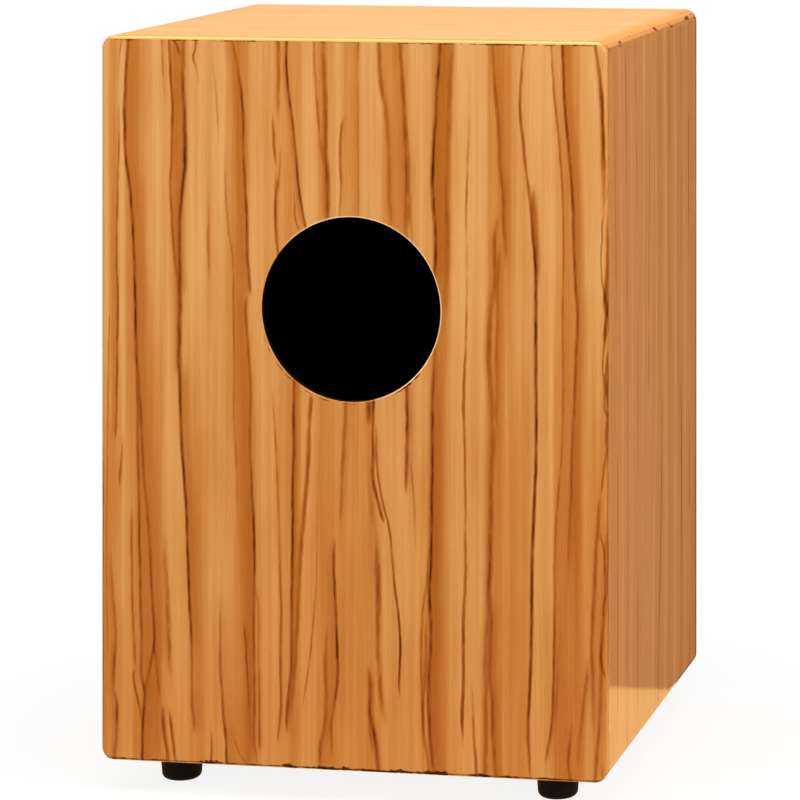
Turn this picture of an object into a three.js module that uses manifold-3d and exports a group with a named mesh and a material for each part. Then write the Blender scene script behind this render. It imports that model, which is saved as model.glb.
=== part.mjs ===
// A box cajon with a rear sound hole and adjustable snare strings: the shell, the playing plate
// (tapa) and its screws, the back panel, the rubber feet, and the string system behind the tapa.
//
// Frame: millimetres, +Z up. The origin is on the floor, under the centre of the box. The tapa
// faces -Y and the back panel with its sound hole faces +Y. Left and right are those of the
// player who sits on the box facing the way the tapa faces, so left is +X.
import * as THREE from "three";
import { mergeVertices } from "three/addons/utils/BufferGeometryUtils.js";
import Module from "manifold-3d";

const wasm = await Module();
wasm.setup();

// ---- Driving dimensions -------------------------------------------------------------------
const BODY = { width: 328, depth: 300, height: 460, cornerRadius: 8 };
const FOOT = { height: 20, inset: 40, topRadius: 13.75, lowRadius: 12.75, edgeRadius: 4 };
const FOOT_RECESS = { radius: 6, depth: 9, boreRadius: 2.4 };
const SHELL_THICKNESS = 12;
const BACK = { thickness: 6, edgeRound: 3 };
const TAPA = { thickness: 3, edgeRound: 1 };
const SOUND_HOLE = { radius: 58, height: 310, edgeRound: 1.5 };
const CORNER_BLOCK = { leg: 20, length: 240 };

// Countersunk screws round the tapa's edge, driven into the front edge of the shell.
const TAPA_SCREW = { headRadius: 3.6, headHeight: 2.1, shankRadius: 1.75, length: 19, below: 0.15 };
const TAPA_SCREW_INSET = 7;
const TAPA_SIDE_SCREWS = { count: 5, fromEnd: 28 };
const TAPA_CROSS_SCREWS = { count: 3, spacing: 90 };

// Pan-head screws and washers that hold the feet.
const FOOT_SCREW = { headRadius: 3.8, headHeight: 2.5, shankRadius: 2, length: 22 };
const FOOT_WASHER = { radius: 5.6, boreRadius: 2.3, thickness: 1 };

// The string system. Each adjuster screw hangs in the bottom panel and pulls a carriage down
// inside its block; a carriage holds two strings, which run up behind the tapa to the rail.
const STRING = { radius: 0.45, ballRadius: 1.8, ballLength: 3, tapaGap: 0.35, bend: 3 };
const RAIL = { width: 224, depth: 24, height: 30 };
const RAIL_HOLE = { below: 15, radius: 1.6, mouthRadius: 4.2, mouthDepth: 3 };
const BRIDGE_GAP = 0.15; // between a string and the wood faces it runs over
const BLOCK = { width: 44, depth: 26, height: 70 };
const POCKET = { width: 28, depth: 17, floor: 8, height: 40 };
const CARRIAGE = { width: 26, depth: 15, height: 12, restDrop: 22, setBack: 1.2, stringBore: 1 };
const ADJUSTER = { x: 34, y: -136, radius: 3, length: 50, tip: 1 };
const ADJUSTER_HEAD = { radius: 5, height: 6, chamfer: 0.6 };
const ADJUSTER_SEAT = { radius: 6.5, depth: 8, washerRadius: 6, washerThickness: 1 };
const STRING_SPREAD = { carriage: 7.5, carriageSetBack: 2.4, railNear: 88, railFar: 104 };
const HEX_SOCKET = { radius: 2.9, depth: 3.5, sides: 6 };

// The cross recess of a screw: its reach and depth are shares of the head's radius and height.
const CROSS_RECESS = { width: 0.9, reach: 1.15, depth: 0.6 };
const TIP_LENGTH = 1.6; // of a wood screw's point, in shank radii

const FIT_GAP = 0.1; // radial running clearance of a shaft in its hole
const HOLE_GAP = 0.35; // radial room of a loose hole round a screw
const END_GAP = 0.1; // between faces that only rest against each other
const PAST = 1; // how far a cutter runs past the face that it opens

// Flat sides of round surfaces, and steps of a rounded edge.
const FACETS = { wire: 8, screw: 12, panHead: 16, shaft: 24, counterbore: 32, soundHole: 72 };
const ROUND_STEPS = 4;

// ---- Places worked out from the dimensions --------------------------------------------------
const HALF_WIDTH = BODY.width / 2;
const BODY_BOTTOM = FOOT.height;
const BODY_TOP = BODY_BOTTOM + BODY.height;
const SHELL_FRONT = -BODY.depth / 2 + TAPA.thickness;
const SHELL_BACK = BODY.depth / 2 - BACK.thickness;
const INSIDE = {
  halfWidth: HALF_WIDTH - SHELL_THICKNESS,
  bottom: BODY_BOTTOM + SHELL_THICKNESS,
  top: BODY_TOP - SHELL_THICKNESS,
};
const STRING_Y = SHELL_FRONT + STRING.tapaGap + STRING.radius;
const BRIDGE_Y = STRING_Y + STRING.radius + BRIDGE_GAP;
const RAIL_HOLE_Z = INSIDE.top - RAIL_HOLE.below;
const POCKET_Z = INSIDE.bottom + POCKET.floor;
const POCKET_TOP = POCKET_Z + POCKET.height;
const CARRIAGE_TOP = POCKET_TOP - CARRIAGE.restDrop + CARRIAGE.height / 2;
const ADJUSTER_HEAD_TOP = BODY_BOTTOM + ADJUSTER_SEAT.depth - ADJUSTER_SEAT.washerThickness - END_GAP;

// ---- Materials ------------------------------------------------------------------------------
const material = (color, roughness, metalness = 0) =>
  new THREE.MeshStandardMaterial({ color, roughness, metalness });
const FIGURED_WOOD = material(0xcf8c4a, 0.25);
const SIDE_WOOD = material(0xc58150, 0.25);
const SEAT_WOOD = material(0xf3bd80, 0.3);
const PLAIN_WOOD = material(0xd2ab74, 0.7);
const RUBBER = material(0x141312, 0.75);
const STEEL = material(0xa9abad, 0.35, 1);
const BLACK_STEEL = material(0x26262a, 0.4, 1);
const BRASS = material(0xb08d4a, 0.35, 1);

// ---- Solid helpers --------------------------------------------------------------------------
// A closed geometry as a manifold-3d solid, placed by an optional matrix.
function solidOf(geometry, matrix = new THREE.Matrix4()) {
  const bare = geometry.clone().applyMatrix4(matrix);
  bare.deleteAttribute("normal");
  bare.deleteAttribute("uv");
  const merged = mergeVertices(bare, 1e-4);
  return new wasm.Manifold(
    new wasm.Mesh({
      numProp: 3,
      vertProperties: merged.attributes.position.array,
      triVerts: new Uint32Array(merged.index.array),
    }),
  );
}

function geometryOf(solid) {
  const mesh = solid.getMesh();
  const geometry = new THREE.BufferGeometry();
  geometry.setAttribute("position", new THREE.BufferAttribute(mesh.vertProperties, 3));
  geometry.setIndex(new THREE.BufferAttribute(mesh.triVerts, 1));
  return geometry.toNonIndexed();
}

const cut = (solid, cutters) => cutters.reduce((rest, cutter) => rest.subtract(cutter), solid);

// A box given by its low and high corners.
function boxBetween(low, high) {
  const size = high.map((value, axis) => value - low[axis]);
  const centre = high.map((value, axis) => (value + low[axis]) / 2);
  return solidOf(new THREE.BoxGeometry(...size), new THREE.Matrix4().makeTranslation(...centre));
}

// A solid of revolution about +Z from its foot point; profile is a list of [radius, height].
function turned(profile, segments) {
  const points = profile.map(([radius, height]) => new THREE.Vector2(radius, height));
  return new THREE.LatheGeometry(points, segments).rotateX(Math.PI / 2);
}

const turnedUp = (profile, [x, y, z], segments) =>
  solidOf(turned(profile, segments), new THREE.Matrix4().makeTranslation(x, y, z));

// The same, with its axis running along +Y from its foot point.
const turnedBack = (profile, [x, y, z], segments) =>
  solidOf(
    turned(profile, segments),
    new THREE.Matrix4().makeTranslation(x, y, z).multiply(new THREE.Matrix4().makeRotationX(-Math.PI / 2)),
  );

const rod = (radius, length) => [[0, 0], [radius, 0], [radius, length], [0, length]];

// ---- Outlines of the box, in the XZ plane ---------------------------------------------------
const CORNER_SEGMENTS = 6;
const CORNERS = [
  [1, 1],
  [-1, 1],
  [-1, -1],
  [1, -1],
];

const cornerCentre = (index, radius = BODY.cornerRadius) => {
  const [sideX, sideZ] = CORNERS[index % 4];
  return [
    sideX * (HALF_WIDTH - radius),
    (BODY_BOTTOM + BODY_TOP) / 2 + sideZ * (BODY.height / 2 - radius),
  ];
};

// An arc's points round a body corner; angles are counted from +X towards +Z.
function cornerArc(index, fromDegrees, toDegrees, segments, radius = BODY.cornerRadius) {
  const [x, z] = cornerCentre(index);
  return Array.from({ length: segments + 1 }, (_, step) => {
    const angle = THREE.MathUtils.degToRad(
      fromDegrees + ((toDegrees - fromDegrees) * step) / segments,
    );
    return new THREE.Vector2(x + radius * Math.cos(angle), z + radius * Math.sin(angle));
  });
}

const innerCorner = (index) => {
  const [sideX, sideZ] = CORNERS[index % 4];
  return new THREE.Vector2(
    sideX * INSIDE.halfWidth,
    sideZ > 0 ? INSIDE.top : INSIDE.bottom,
  );
};

// The whole outline, drawn in by an inset that is smaller than the corner radius.
function bodyOutline(inset) {
  const radius = BODY.cornerRadius - inset;
  return new THREE.Shape(
    CORNERS.flatMap((_, index) =>
      cornerArc(index, index * 90, index * 90 + 90, CORNER_SEGMENTS, radius),
    ),
  );
}

// An outline in XZ pushed through from backY towards -Y by length.
function extrudedForward(shape, backY, length, bevel = 0) {
  const geometry = new THREE.ExtrudeGeometry(shape, {
    depth: length,
    bevelEnabled: bevel > 0,
    bevelThickness: bevel,
    bevelSize: bevel,
    bevelSegments: bevel > 2 ? 5 : 2,
  });
  geometry.rotateX(Math.PI / 2);
  return solidOf(geometry, new THREE.Matrix4().makeTranslation(0, backY, 0));
}

// ---- Shell, tapa and back panel --------------------------------------------------------------
// Panel 0 is the seat, 1 the right side, 2 the bottom and 3 the left side. The panels meet in
// 45-degree mitres, so that the grain of each ends at the middle of the rounded corner.
function shellPanel(index) {
  const next = index + 1;
  const half = CORNER_SEGMENTS / 2;
  const outline = [
    ...cornerArc(index, index * 90 + 45, index * 90 + 90, half),
    ...cornerArc(next, next * 90, next * 90 + 45, half),
    innerCorner(next),
    innerCorner(index),
  ];
  return extrudedForward(new THREE.Shape(outline), SHELL_BACK, SHELL_BACK - SHELL_FRONT);
}

// A plate over the whole outline whose outer edge is rounded; outward is -1 for the tapa and 1
// for the back panel, and innerY is the face that lies on the shell.
function facePlate(thickness, edgeRound, innerY, outward) {
  const outerY = innerY + outward * thickness;
  const backY = outward > 0 ? outerY - edgeRound : innerY + edgeRound;
  const block = extrudedForward(bodyOutline(edgeRound), backY, thickness, edgeRound);
  const low = [-BODY.width, Math.min(innerY, outerY), 0];
  const high = [BODY.width, Math.max(innerY, outerY), BODY_TOP + BODY.width];
  return block.intersect(boxBetween(low, high));
}

const spread = (count, low, high) =>
  Array.from({ length: count }, (_, step) => low + ((high - low) * step) / (count - 1));

// Where the tapa's screws go, as [x, z, name].
function tapaScrewPlaces() {
  const sideX = HALF_WIDTH - TAPA_SCREW_INSET;
  const heights = spread(
    TAPA_SIDE_SCREWS.count,
    BODY_BOTTOM + TAPA_SIDE_SCREWS.fromEnd,
    BODY_TOP - TAPA_SIDE_SCREWS.fromEnd,
  );
  const reach = (TAPA_CROSS_SCREWS.spacing * (TAPA_CROSS_SCREWS.count - 1)) / 2;
  const across = spread(TAPA_CROSS_SCREWS.count, -reach, reach);
  return [
    ...heights.map((z, step) => [sideX, z, `tapa_screw_left_${step + 1}`]),
    ...heights.map((z, step) => [-sideX, z, `tapa_screw_right_${step + 1}`]),
    ...across.map((x, step) => [x, BODY_TOP - TAPA_SCREW_INSET, `tapa_screw_top_${step + 1}`]),
    ...across.map((x, step) => [x, BODY_BOTTOM + TAPA_SCREW_INSET, `tapa_screw_bottom_${step + 1}`]),
  ];
}

const FOOT_PLACES = [
  [1, -1, "front_left"],
  [-1, -1, "front_right"],
  [1, 1, "back_left"],
  [-1, 1, "back_right"],
].map(([sideX, sideY, name]) => [
  sideX * (HALF_WIDTH - FOOT.inset),
  sideY * (BODY.depth / 2 - FOOT.inset),
  name,
]);

const SIDES = [
  [1, "left"],
  [-1, "right"],
];

function tapaPilotHoles() {
  const radius = TAPA_SCREW.shankRadius + FIT_GAP;
  const length = PAST + TAPA_SCREW.length - TAPA.thickness + 1;
  return tapaScrewPlaces().map(([x, z]) =>
    turnedBack(rod(radius, length), [x, SHELL_FRONT - PAST, z], FACETS.screw),
  );
}

function bottomPanelHoles() {
  const footHoles = FOOT_PLACES.map(([x, y]) =>
    turnedUp(
      rod(FOOT_SCREW.shankRadius + FIT_GAP, SHELL_THICKNESS),
      [x, y, BODY_BOTTOM - PAST],
      FACETS.screw,
    ),
  );
  const seats = SIDES.flatMap(([side]) => {
    const place = [side * ADJUSTER.x, ADJUSTER.y, BODY_BOTTOM - PAST];
    return [
      turnedUp(rod(ADJUSTER_SEAT.radius, ADJUSTER_SEAT.depth + PAST), place, FACETS.counterbore),
      turnedUp(rod(ADJUSTER.radius + HOLE_GAP, SHELL_THICKNESS + 2 * PAST), place, FACETS.shaft),
    ];
  });
  return [...footHoles, ...seats];
}

function backPanel() {
  const plate = facePlate(BACK.thickness, BACK.edgeRound, SHELL_BACK, 1);
  const { radius, edgeRound, height } = SOUND_HOLE;
  const rim = Array.from({ length: ROUND_STEPS + 1 }, (_, step) => {
    const angle = (step / ROUND_STEPS) * (Math.PI / 2);
    return [
      radius + edgeRound * (1 - Math.cos(angle)),
      PAST + BACK.thickness - edgeRound + edgeRound * Math.sin(angle),
    ];
  });
  const mouth = radius + edgeRound;
  const end = BACK.thickness + 2 * PAST;
  const profile = [[0, 0], [radius, 0], ...rim, [mouth, end], [0, end]];
  return plate.subtract(turnedBack(profile, [0, SHELL_BACK - PAST, height], FACETS.soundHole));
}

function tapa() {
  const plate = facePlate(TAPA.thickness, TAPA.edgeRound, SHELL_FRONT, -1);
  const face = SHELL_FRONT - TAPA.thickness;
  const wide = TAPA_SCREW.headRadius + HOLE_GAP;
  const narrow = TAPA_SCREW.shankRadius + FIT_GAP;
  const coneEnd = TAPA_SCREW.below + TAPA_SCREW.headHeight + HOLE_GAP / 2;
  const profile = [
    [0, -PAST],
    [wide, -PAST],
    [wide, TAPA_SCREW.below],
    [narrow, coneEnd],
    [narrow, TAPA.thickness + PAST],
    [0, TAPA.thickness + PAST],
  ];
  const holes = tapaScrewPlaces().map(([x, z]) => turnedBack(profile, [x, face, z], FACETS.screw));
  return cut(plate, holes);
}

// ---- Screws, feet and washers ----------------------------------------------------------------
// The two arms of a cross recess, centred on the head's face; they go into the head along its +Z.
function crossRecess(width, reach, depth, matrix) {
  const arms = [
    new THREE.BoxGeometry(reach, width, depth * 2),
    new THREE.BoxGeometry(width, reach, depth * 2),
  ];
  return arms.map((arm) => solidOf(arm, matrix));
}

// A screw whose head faces -Z at the origin and whose shank runs up +Z.
function screwSolid(size, headProfile, headEnd, segments, matrix) {
  const tip = size.length - size.shankRadius * TIP_LENGTH;
  const profile = [
    ...headProfile,
    [size.shankRadius, headEnd],
    [size.shankRadius, tip],
    [0, size.length],
  ];
  const screw = solidOf(turned(profile, segments), matrix);
  const reach = size.headRadius * CROSS_RECESS.reach;
  const depth = size.headHeight * CROSS_RECESS.depth;
  return cut(screw, crossRecess(CROSS_RECESS.width, reach, depth, matrix));
}

const facingForward = (x, y, z) =>
  new THREE.Matrix4().makeTranslation(x, y, z).multiply(new THREE.Matrix4().makeRotationX(-Math.PI / 2));

function tapaScrew(x, z) {
  const { headRadius, headHeight, below } = TAPA_SCREW;
  const head = [[0, 0], [headRadius, 0], [headRadius, 0.2]];
  const place = facingForward(x, -BODY.depth / 2 + below, z);
  return screwSolid(TAPA_SCREW, head, headHeight, FACETS.screw, place);
}

const FOOT_WASHER_Z = FOOT_RECESS.depth - END_GAP - FOOT_WASHER.thickness;

function footScrew(x, y) {
  const { headRadius, headHeight } = FOOT_SCREW;
  const top = FOOT_WASHER_Z - END_GAP;
  const head = [[0, 0], [headRadius * 0.75, 0], [headRadius, headHeight * 0.45], [headRadius, headHeight]];
  const place = new THREE.Matrix4().makeTranslation(x, y, top - headHeight);
  return screwSolid(FOOT_SCREW, head, headHeight, FACETS.panHead, place);
}

// A washer's profile closes on itself: bore, underside, rim and top.
const ring = (inner, outer, thickness) => [
  [inner, 0],
  [outer, 0],
  [outer, thickness],
  [inner, thickness],
  [inner, 0],
];

function foot(x, y) {
  const { height, topRadius, lowRadius, edgeRadius } = FOOT;
  const { radius, depth, boreRadius } = FOOT_RECESS;
  const edge = Array.from({ length: ROUND_STEPS + 1 }, (_, step) => {
    const angle = (step / ROUND_STEPS) * (Math.PI / 2);
    return [
      lowRadius - edgeRadius + edgeRadius * Math.sin(angle),
      edgeRadius * (1 - Math.cos(angle)),
    ];
  });
  const profile = [
    [boreRadius, depth],
    [radius, depth],
    [radius, 0],
    ...edge,
    [topRadius, height],
    [boreRadius, height],
    [boreRadius, depth],
  ];
  return turnedUp(profile, [x, y, 0], FACETS.shaft);
}

// ---- String system ----------------------------------------------------------------------------
function stringEnds(side, near) {
  const step = near ? -1 : 1;
  return {
    railX: side * (near ? STRING_SPREAD.railNear : STRING_SPREAD.railFar),
    carriageX: side * (ADJUSTER.x + step * STRING_SPREAD.carriage),
    carriageY: ADJUSTER.y - CARRIAGE.depth / 2 - CARRIAGE.setBack + STRING_SPREAD.carriageSetBack,
  };
}

const STRINGS = SIDES.flatMap(([side, name]) => [
  { ...stringEnds(side, true), name: `snare_string_${name}_inner` },
  { ...stringEnds(side, false), name: `snare_string_${name}_outer` },
]);

// The wooden rail under the seat. Each string turns over the lip of its hole and ends in a ball
// behind the rail.
function stringRail() {
  const block = boxBetween(
    [-RAIL.width / 2, BRIDGE_Y, INSIDE.top - RAIL.height],
    [RAIL.width / 2, BRIDGE_Y + RAIL.depth, INSIDE.top],
  );
  const profile = [
    [0, -PAST],
    [RAIL_HOLE.mouthRadius, -PAST],
    [RAIL_HOLE.mouthRadius, 0],
    [RAIL_HOLE.radius, RAIL_HOLE.mouthDepth],
    [RAIL_HOLE.radius, RAIL.depth + PAST],
    [0, RAIL.depth + PAST],
  ];
  const holes = STRINGS.map(({ railX }) =>
    turnedBack(profile, [railX, BRIDGE_Y, RAIL_HOLE_Z], FACETS.panHead),
  );
  return cut(block, holes);
}

// The hardwood block that guides a carriage; its solid upper front face is the strings' bridge.
function adjusterBlock(side) {
  const x = side * ADJUSTER.x;
  const block = boxBetween(
    [x - BLOCK.width / 2, BRIDGE_Y, INSIDE.bottom],
    [x + BLOCK.width / 2, BRIDGE_Y + BLOCK.depth, INSIDE.bottom + BLOCK.height],
  );
  const pocket = boxBetween(
    [x - POCKET.width / 2, BRIDGE_Y - PAST, POCKET_Z],
    [x + POCKET.width / 2, BRIDGE_Y + POCKET.depth, POCKET_TOP],
  );
  const hole = turnedUp(
    rod(ADJUSTER.radius + HOLE_GAP, POCKET.floor + 2 * PAST),
    [x, ADJUSTER.y, INSIDE.bottom - PAST],
    FACETS.shaft,
  );
  return cut(block, [pocket, hole]);
}

function carriage(side) {
  const x = side * ADJUSTER.x;
  const front = ADJUSTER.y - CARRIAGE.depth / 2 - CARRIAGE.setBack;
  const bottom = CARRIAGE_TOP - CARRIAGE.height;
  const block = boxBetween(
    [x - CARRIAGE.width / 2, front, bottom],
    [x + CARRIAGE.width / 2, front + CARRIAGE.depth, CARRIAGE_TOP],
  );
  const thread = turnedUp(
    rod(ADJUSTER.radius + FIT_GAP, CARRIAGE.height + 2 * PAST),
    [x, ADJUSTER.y, bottom - PAST],
    FACETS.shaft,
  );
  const stringBore = rod(CARRIAGE.stringBore, CARRIAGE.height + 2 * PAST);
  const stringHoles = STRINGS.filter(({ carriageX }) => carriageX * side > 0).map(
    ({ carriageX, carriageY }) => turnedUp(stringBore, [carriageX, carriageY, bottom - PAST], FACETS.screw),
  );
  return cut(block, [thread, ...stringHoles]);
}

// A socket-head screw: head in the bottom panel's counterbore, hexagon socket facing down.
function adjusterScrew(side) {
  const { radius, length, tip, x, y } = ADJUSTER;
  const head = ADJUSTER_HEAD;
  const low = ADJUSTER_HEAD_TOP - head.height;
  const profile = [
    [0, 0],
    [head.radius - head.chamfer, 0],
    [head.radius, head.chamfer],
    [head.radius, head.height],
    [radius, head.height],
    [radius, head.height + length - tip],
    [radius - tip, head.height + length],
    [0, head.height + length],
  ];
  const socket = turnedUp(
    rod(HEX_SOCKET.radius, HEX_SOCKET.depth + PAST),
    [side * x, y, low - PAST],
    HEX_SOCKET.sides,
  );
  return turnedUp(profile, [side * x, y, low], FACETS.shaft).subtract(socket);
}

// A string's centre line, from its ball behind the rail to the sleeve under its carriage.
function stringPoints({ railX, carriageX, carriageY }) {
  const { bend } = STRING;
  const ballY = BRIDGE_Y + RAIL.depth + END_GAP;
  const bridgeLow = POCKET_TOP - 1;
  const lean = (railX - carriageX) / (RAIL_HOLE_Z - CARRIAGE_TOP);
  const xAt = (z) => railX - lean * (RAIL_HOLE_Z - bend - z);
  const overLip = [0, 30, 60, 90].map((degrees) => {
    const angle = THREE.MathUtils.degToRad(degrees);
    const z = RAIL_HOLE_Z - bend + bend * Math.cos(angle);
    return new THREE.Vector3(railX, STRING_Y + bend - bend * Math.sin(angle), z);
  });
  return [
    new THREE.Vector3(railX, ballY + STRING.ballLength / 2, RAIL_HOLE_Z),
    ...overLip,
    new THREE.Vector3(xAt(bridgeLow), STRING_Y, bridgeLow),
    new THREE.Vector3(carriageX, carriageY, CARRIAGE_TOP + 1.5),
    new THREE.Vector3(carriageX, carriageY, CARRIAGE_TOP - CARRIAGE.height - STRING.ballLength / 2),
  ];
}

// A path of straight runs whose own parameter steps from point to point, so that a sweep puts
// one ring at each point.
class PointPath extends THREE.CatmullRomCurve3 {
  getPoint(t, target = new THREE.Vector3()) {
    const place = Math.min(t, 1) * (this.points.length - 1);
    const index = Math.min(Math.floor(place), this.points.length - 2);
    return target.lerpVectors(this.points[index], this.points[index + 1], place - index);
  }

  getUtoTmapping(u) {
    return u;
  }
}

function snareString(string) {
  const points = stringPoints(string);
  const circle = new THREE.Shape();
  circle.absarc(0, 0, STRING.radius, 0, Math.PI * 2);
  const wire = new THREE.ExtrudeGeometry(circle, {
    steps: points.length - 1,
    curveSegments: FACETS.wire,
    extrudePath: new PointPath(points),
  });
  const ball = rod(STRING.ballRadius, STRING.ballLength);
  const ballY = BRIDGE_Y + RAIL.depth + END_GAP;
  const sleeveZ = CARRIAGE_TOP - CARRIAGE.height - END_GAP - STRING.ballLength;
  return solidOf(wire)
    .add(turnedBack(ball, [string.railX, ballY, RAIL_HOLE_Z], FACETS.screw))
    .add(turnedUp(ball, [string.carriageX, string.carriageY, sleeveZ], FACETS.screw));
}

// ---- Assembly ---------------------------------------------------------------------------------
const cajon = new THREE.Group();

function addPiece(name, solid, finish) {
  const mesh = new THREE.Mesh(geometryOf(solid), finish);
  mesh.name = name;
  cajon.add(mesh);
}

const pilots = tapaPilotHoles();
addPiece("seat_panel", cut(shellPanel(0), pilots), SEAT_WOOD);
addPiece("right_side_panel", cut(shellPanel(1), pilots), SIDE_WOOD);
addPiece("bottom_panel", cut(shellPanel(2), [...pilots, ...bottomPanelHoles()]), PLAIN_WOOD);
addPiece("left_side_panel", cut(shellPanel(3), pilots), SIDE_WOOD);
addPiece("back_panel", backPanel(), FIGURED_WOOD);
addPiece("tapa", tapa(), FIGURED_WOOD);

// Triangular glue blocks run front to back inside the four long corners.
CORNERS.forEach(([sideX, sideZ], index) => {
  const { x, y: z } = innerCorner(index);
  const leg = CORNER_BLOCK.leg;
  const shape = new THREE.Shape([
    new THREE.Vector2(x, z),
    new THREE.Vector2(x - sideX * leg, z),
    new THREE.Vector2(x, z - sideZ * leg),
  ]);
  const name = `corner_block_${sideZ > 0 ? "top" : "bottom"}_${sideX > 0 ? "left" : "right"}`;
  addPiece(name, extrudedForward(shape, CORNER_BLOCK.length / 2, CORNER_BLOCK.length), PLAIN_WOOD);
});

for (const [x, y, name] of FOOT_PLACES) {
  const { radius, boreRadius, thickness } = FOOT_WASHER;
  addPiece(`foot_${name}`, foot(x, y), RUBBER);
  addPiece(
    `foot_washer_${name}`,
    turnedUp(ring(boreRadius, radius, thickness), [x, y, FOOT_WASHER_Z], FACETS.panHead),
    STEEL,
  );
  addPiece(`foot_screw_${name}`, footScrew(x, y), STEEL);
}

for (const [x, z, name] of tapaScrewPlaces()) {
  addPiece(name, tapaScrew(x, z), BLACK_STEEL);
}

addPiece("string_rail", stringRail(), PLAIN_WOOD);
for (const [side, name] of SIDES) {
  const { washerRadius, washerThickness, depth } = ADJUSTER_SEAT;
  const washerPlace = [side * ADJUSTER.x, ADJUSTER.y, BODY_BOTTOM + depth - washerThickness];
  const washer = ring(ADJUSTER.radius + FIT_GAP, washerRadius, washerThickness);
  addPiece(`adjuster_block_${name}`, adjusterBlock(side), PLAIN_WOOD);
  addPiece(`adjuster_washer_${name}`, turnedUp(washer, washerPlace, FACETS.shaft), STEEL);
  addPiece(`adjuster_screw_${name}`, adjusterScrew(side), BLACK_STEEL);
  addPiece(`string_carriage_${name}`, carriage(side), BRASS);
}
for (const string of STRINGS) {
  addPiece(string.name, snareString(string), STEEL);
}

export default cajon;
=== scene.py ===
"""The looks of the cajon: veneered box, rubber feet, screws and string system round the CAD frame."""

import math
import random

import bmesh
import bpy
from mathutils import Matrix, Vector


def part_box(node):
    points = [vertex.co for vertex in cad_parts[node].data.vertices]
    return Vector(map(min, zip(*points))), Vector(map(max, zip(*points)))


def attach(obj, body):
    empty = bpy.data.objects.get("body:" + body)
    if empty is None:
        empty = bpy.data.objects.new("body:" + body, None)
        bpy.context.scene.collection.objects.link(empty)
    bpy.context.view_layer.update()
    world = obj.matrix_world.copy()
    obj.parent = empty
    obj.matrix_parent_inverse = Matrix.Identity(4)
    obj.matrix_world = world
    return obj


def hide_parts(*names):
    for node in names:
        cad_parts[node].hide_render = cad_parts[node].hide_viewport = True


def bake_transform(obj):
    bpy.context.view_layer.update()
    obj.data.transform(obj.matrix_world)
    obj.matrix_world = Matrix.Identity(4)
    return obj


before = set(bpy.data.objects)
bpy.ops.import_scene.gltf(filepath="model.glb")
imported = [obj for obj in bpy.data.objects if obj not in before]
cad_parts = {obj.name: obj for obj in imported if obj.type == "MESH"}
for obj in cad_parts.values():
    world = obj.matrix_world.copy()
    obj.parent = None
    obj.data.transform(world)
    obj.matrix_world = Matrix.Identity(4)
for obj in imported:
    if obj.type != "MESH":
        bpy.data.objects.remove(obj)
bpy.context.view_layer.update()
SCENE = bpy.context.scene
MM = 0.001

# ---- Places read from the frame --------------------------------------------------------------
SEAT_LOW, SEAT_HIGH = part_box("seat_panel")
BACK_LOW, BACK_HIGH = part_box("back_panel")
TAPA_LOW, TAPA_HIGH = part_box("tapa")
RIGHT_LOW, RIGHT_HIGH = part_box("right_side_panel")
HALF_WIDTH = BACK_HIGH.x
BODY_BOTTOM, BODY_TOP = BACK_LOW.z, BACK_HIGH.z
PANEL = RIGHT_HIGH.x - RIGHT_LOW.x
SHELL_FRONT, SHELL_BACK = SEAT_LOW.y, SEAT_HIGH.y
TAPA_SCREWS = sorted(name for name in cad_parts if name.startswith("tapa_screw"))

CORNER_RADIUS = 8 * MM
CORNER_STEPS = 16
BACK_EDGE_ROUND = 3 * MM
TAPA_EDGE_ROUND = 1 * MM
SHARP = math.radians(50)  # faces that meet at more than this stay crisp
SEAM = 0.35 * MM
HAIR = 0.01 * MM
HOLE_RADIUS = 58 * MM
HOLE_RIM = 0.5 * MM
HOLE_CENTRE = (0.0, 310 * MM)


# ---- Mesh helpers -----------------------------------------------------------------------------
def finished_mesh(name, bm, materials, smooth=True):
    """Makes a mesh of a bmesh; smooth shading stops at the sharp edges."""
    bmesh.ops.recalc_face_normals(bm, faces=bm.faces)
    if smooth:
        for face in bm.faces:
            face.smooth = True
        for edge in bm.edges:
            edge.smooth = edge.calc_face_angle(0.0) < SHARP
    mesh = bpy.data.meshes.new(name)
    bm.to_mesh(mesh)
    bm.free()
    for material in materials:
        mesh.materials.append(material)
    return mesh


def add_piece(name, node, mesh, body="cabinet", place=None):
    """Shows a mesh in place of a CAD node. It rides on a body, if one is given."""
    obj = bpy.data.objects.new(name, mesh)
    SCENE.collection.objects.link(obj)
    if place:
        obj.matrix_world = place
    normals = obj.modifiers.new("flat faces stay flat", "WEIGHTED_NORMAL")
    normals.mode = "FACE_AREA"
    normals.keep_sharp = True
    if body:
        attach(obj, body)
    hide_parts(node)
    return obj


def skin(bm, first, second, material=0):
    """Joins two closed rings of the same length with quads."""
    count = len(first)
    for i in range(count):
        j = (i + 1) % count
        face = bm.faces.new((first[i], first[j], second[j], second[i]))
        face.material_index = material


def skin_all(bm, rings, ends=False):
    """Joins each ring to the next, and closes the first and the last if asked."""
    for first, second in zip(rings, rings[1:]):
        skin(bm, first, second)
    if ends:
        bm.faces.new(rings[0])
        bm.faces.new(rings[-1])


def cap(bm, loops, material=0):
    """Fills the flat region between an outer loop and any holes in it."""
    edges = []
    for loop in loops:
        for vert, following in zip(loop, loop[1:] + loop[:1]):
            edges.append(bm.edges.get((vert, following)) or bm.edges.new((vert, following)))
    made = bmesh.ops.triangle_fill(bm, use_beauty=True, edges=edges)
    for item in made["geom"]:
        if isinstance(item, bmesh.types.BMFace):
            item.material_index = material


def arc(centre, radius, steps, low=0.0, high=360.0):
    """Points on an arc, with both its ends; angles are in degrees."""
    points = []
    for i in range(steps + 1):
        angle = math.radians(low + (high - low) * i / steps)
        points.append((centre[0] + radius * math.cos(angle), centre[1] + radius * math.sin(angle)))
    return points


def circle(centre, radius, steps):
    return arc(centre, radius, steps)[:-1]


def level_ring(bm, centre, radius, steps, z):
    return [bm.verts.new((x, y, z)) for x, y in circle(centre, radius, steps)]


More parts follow.
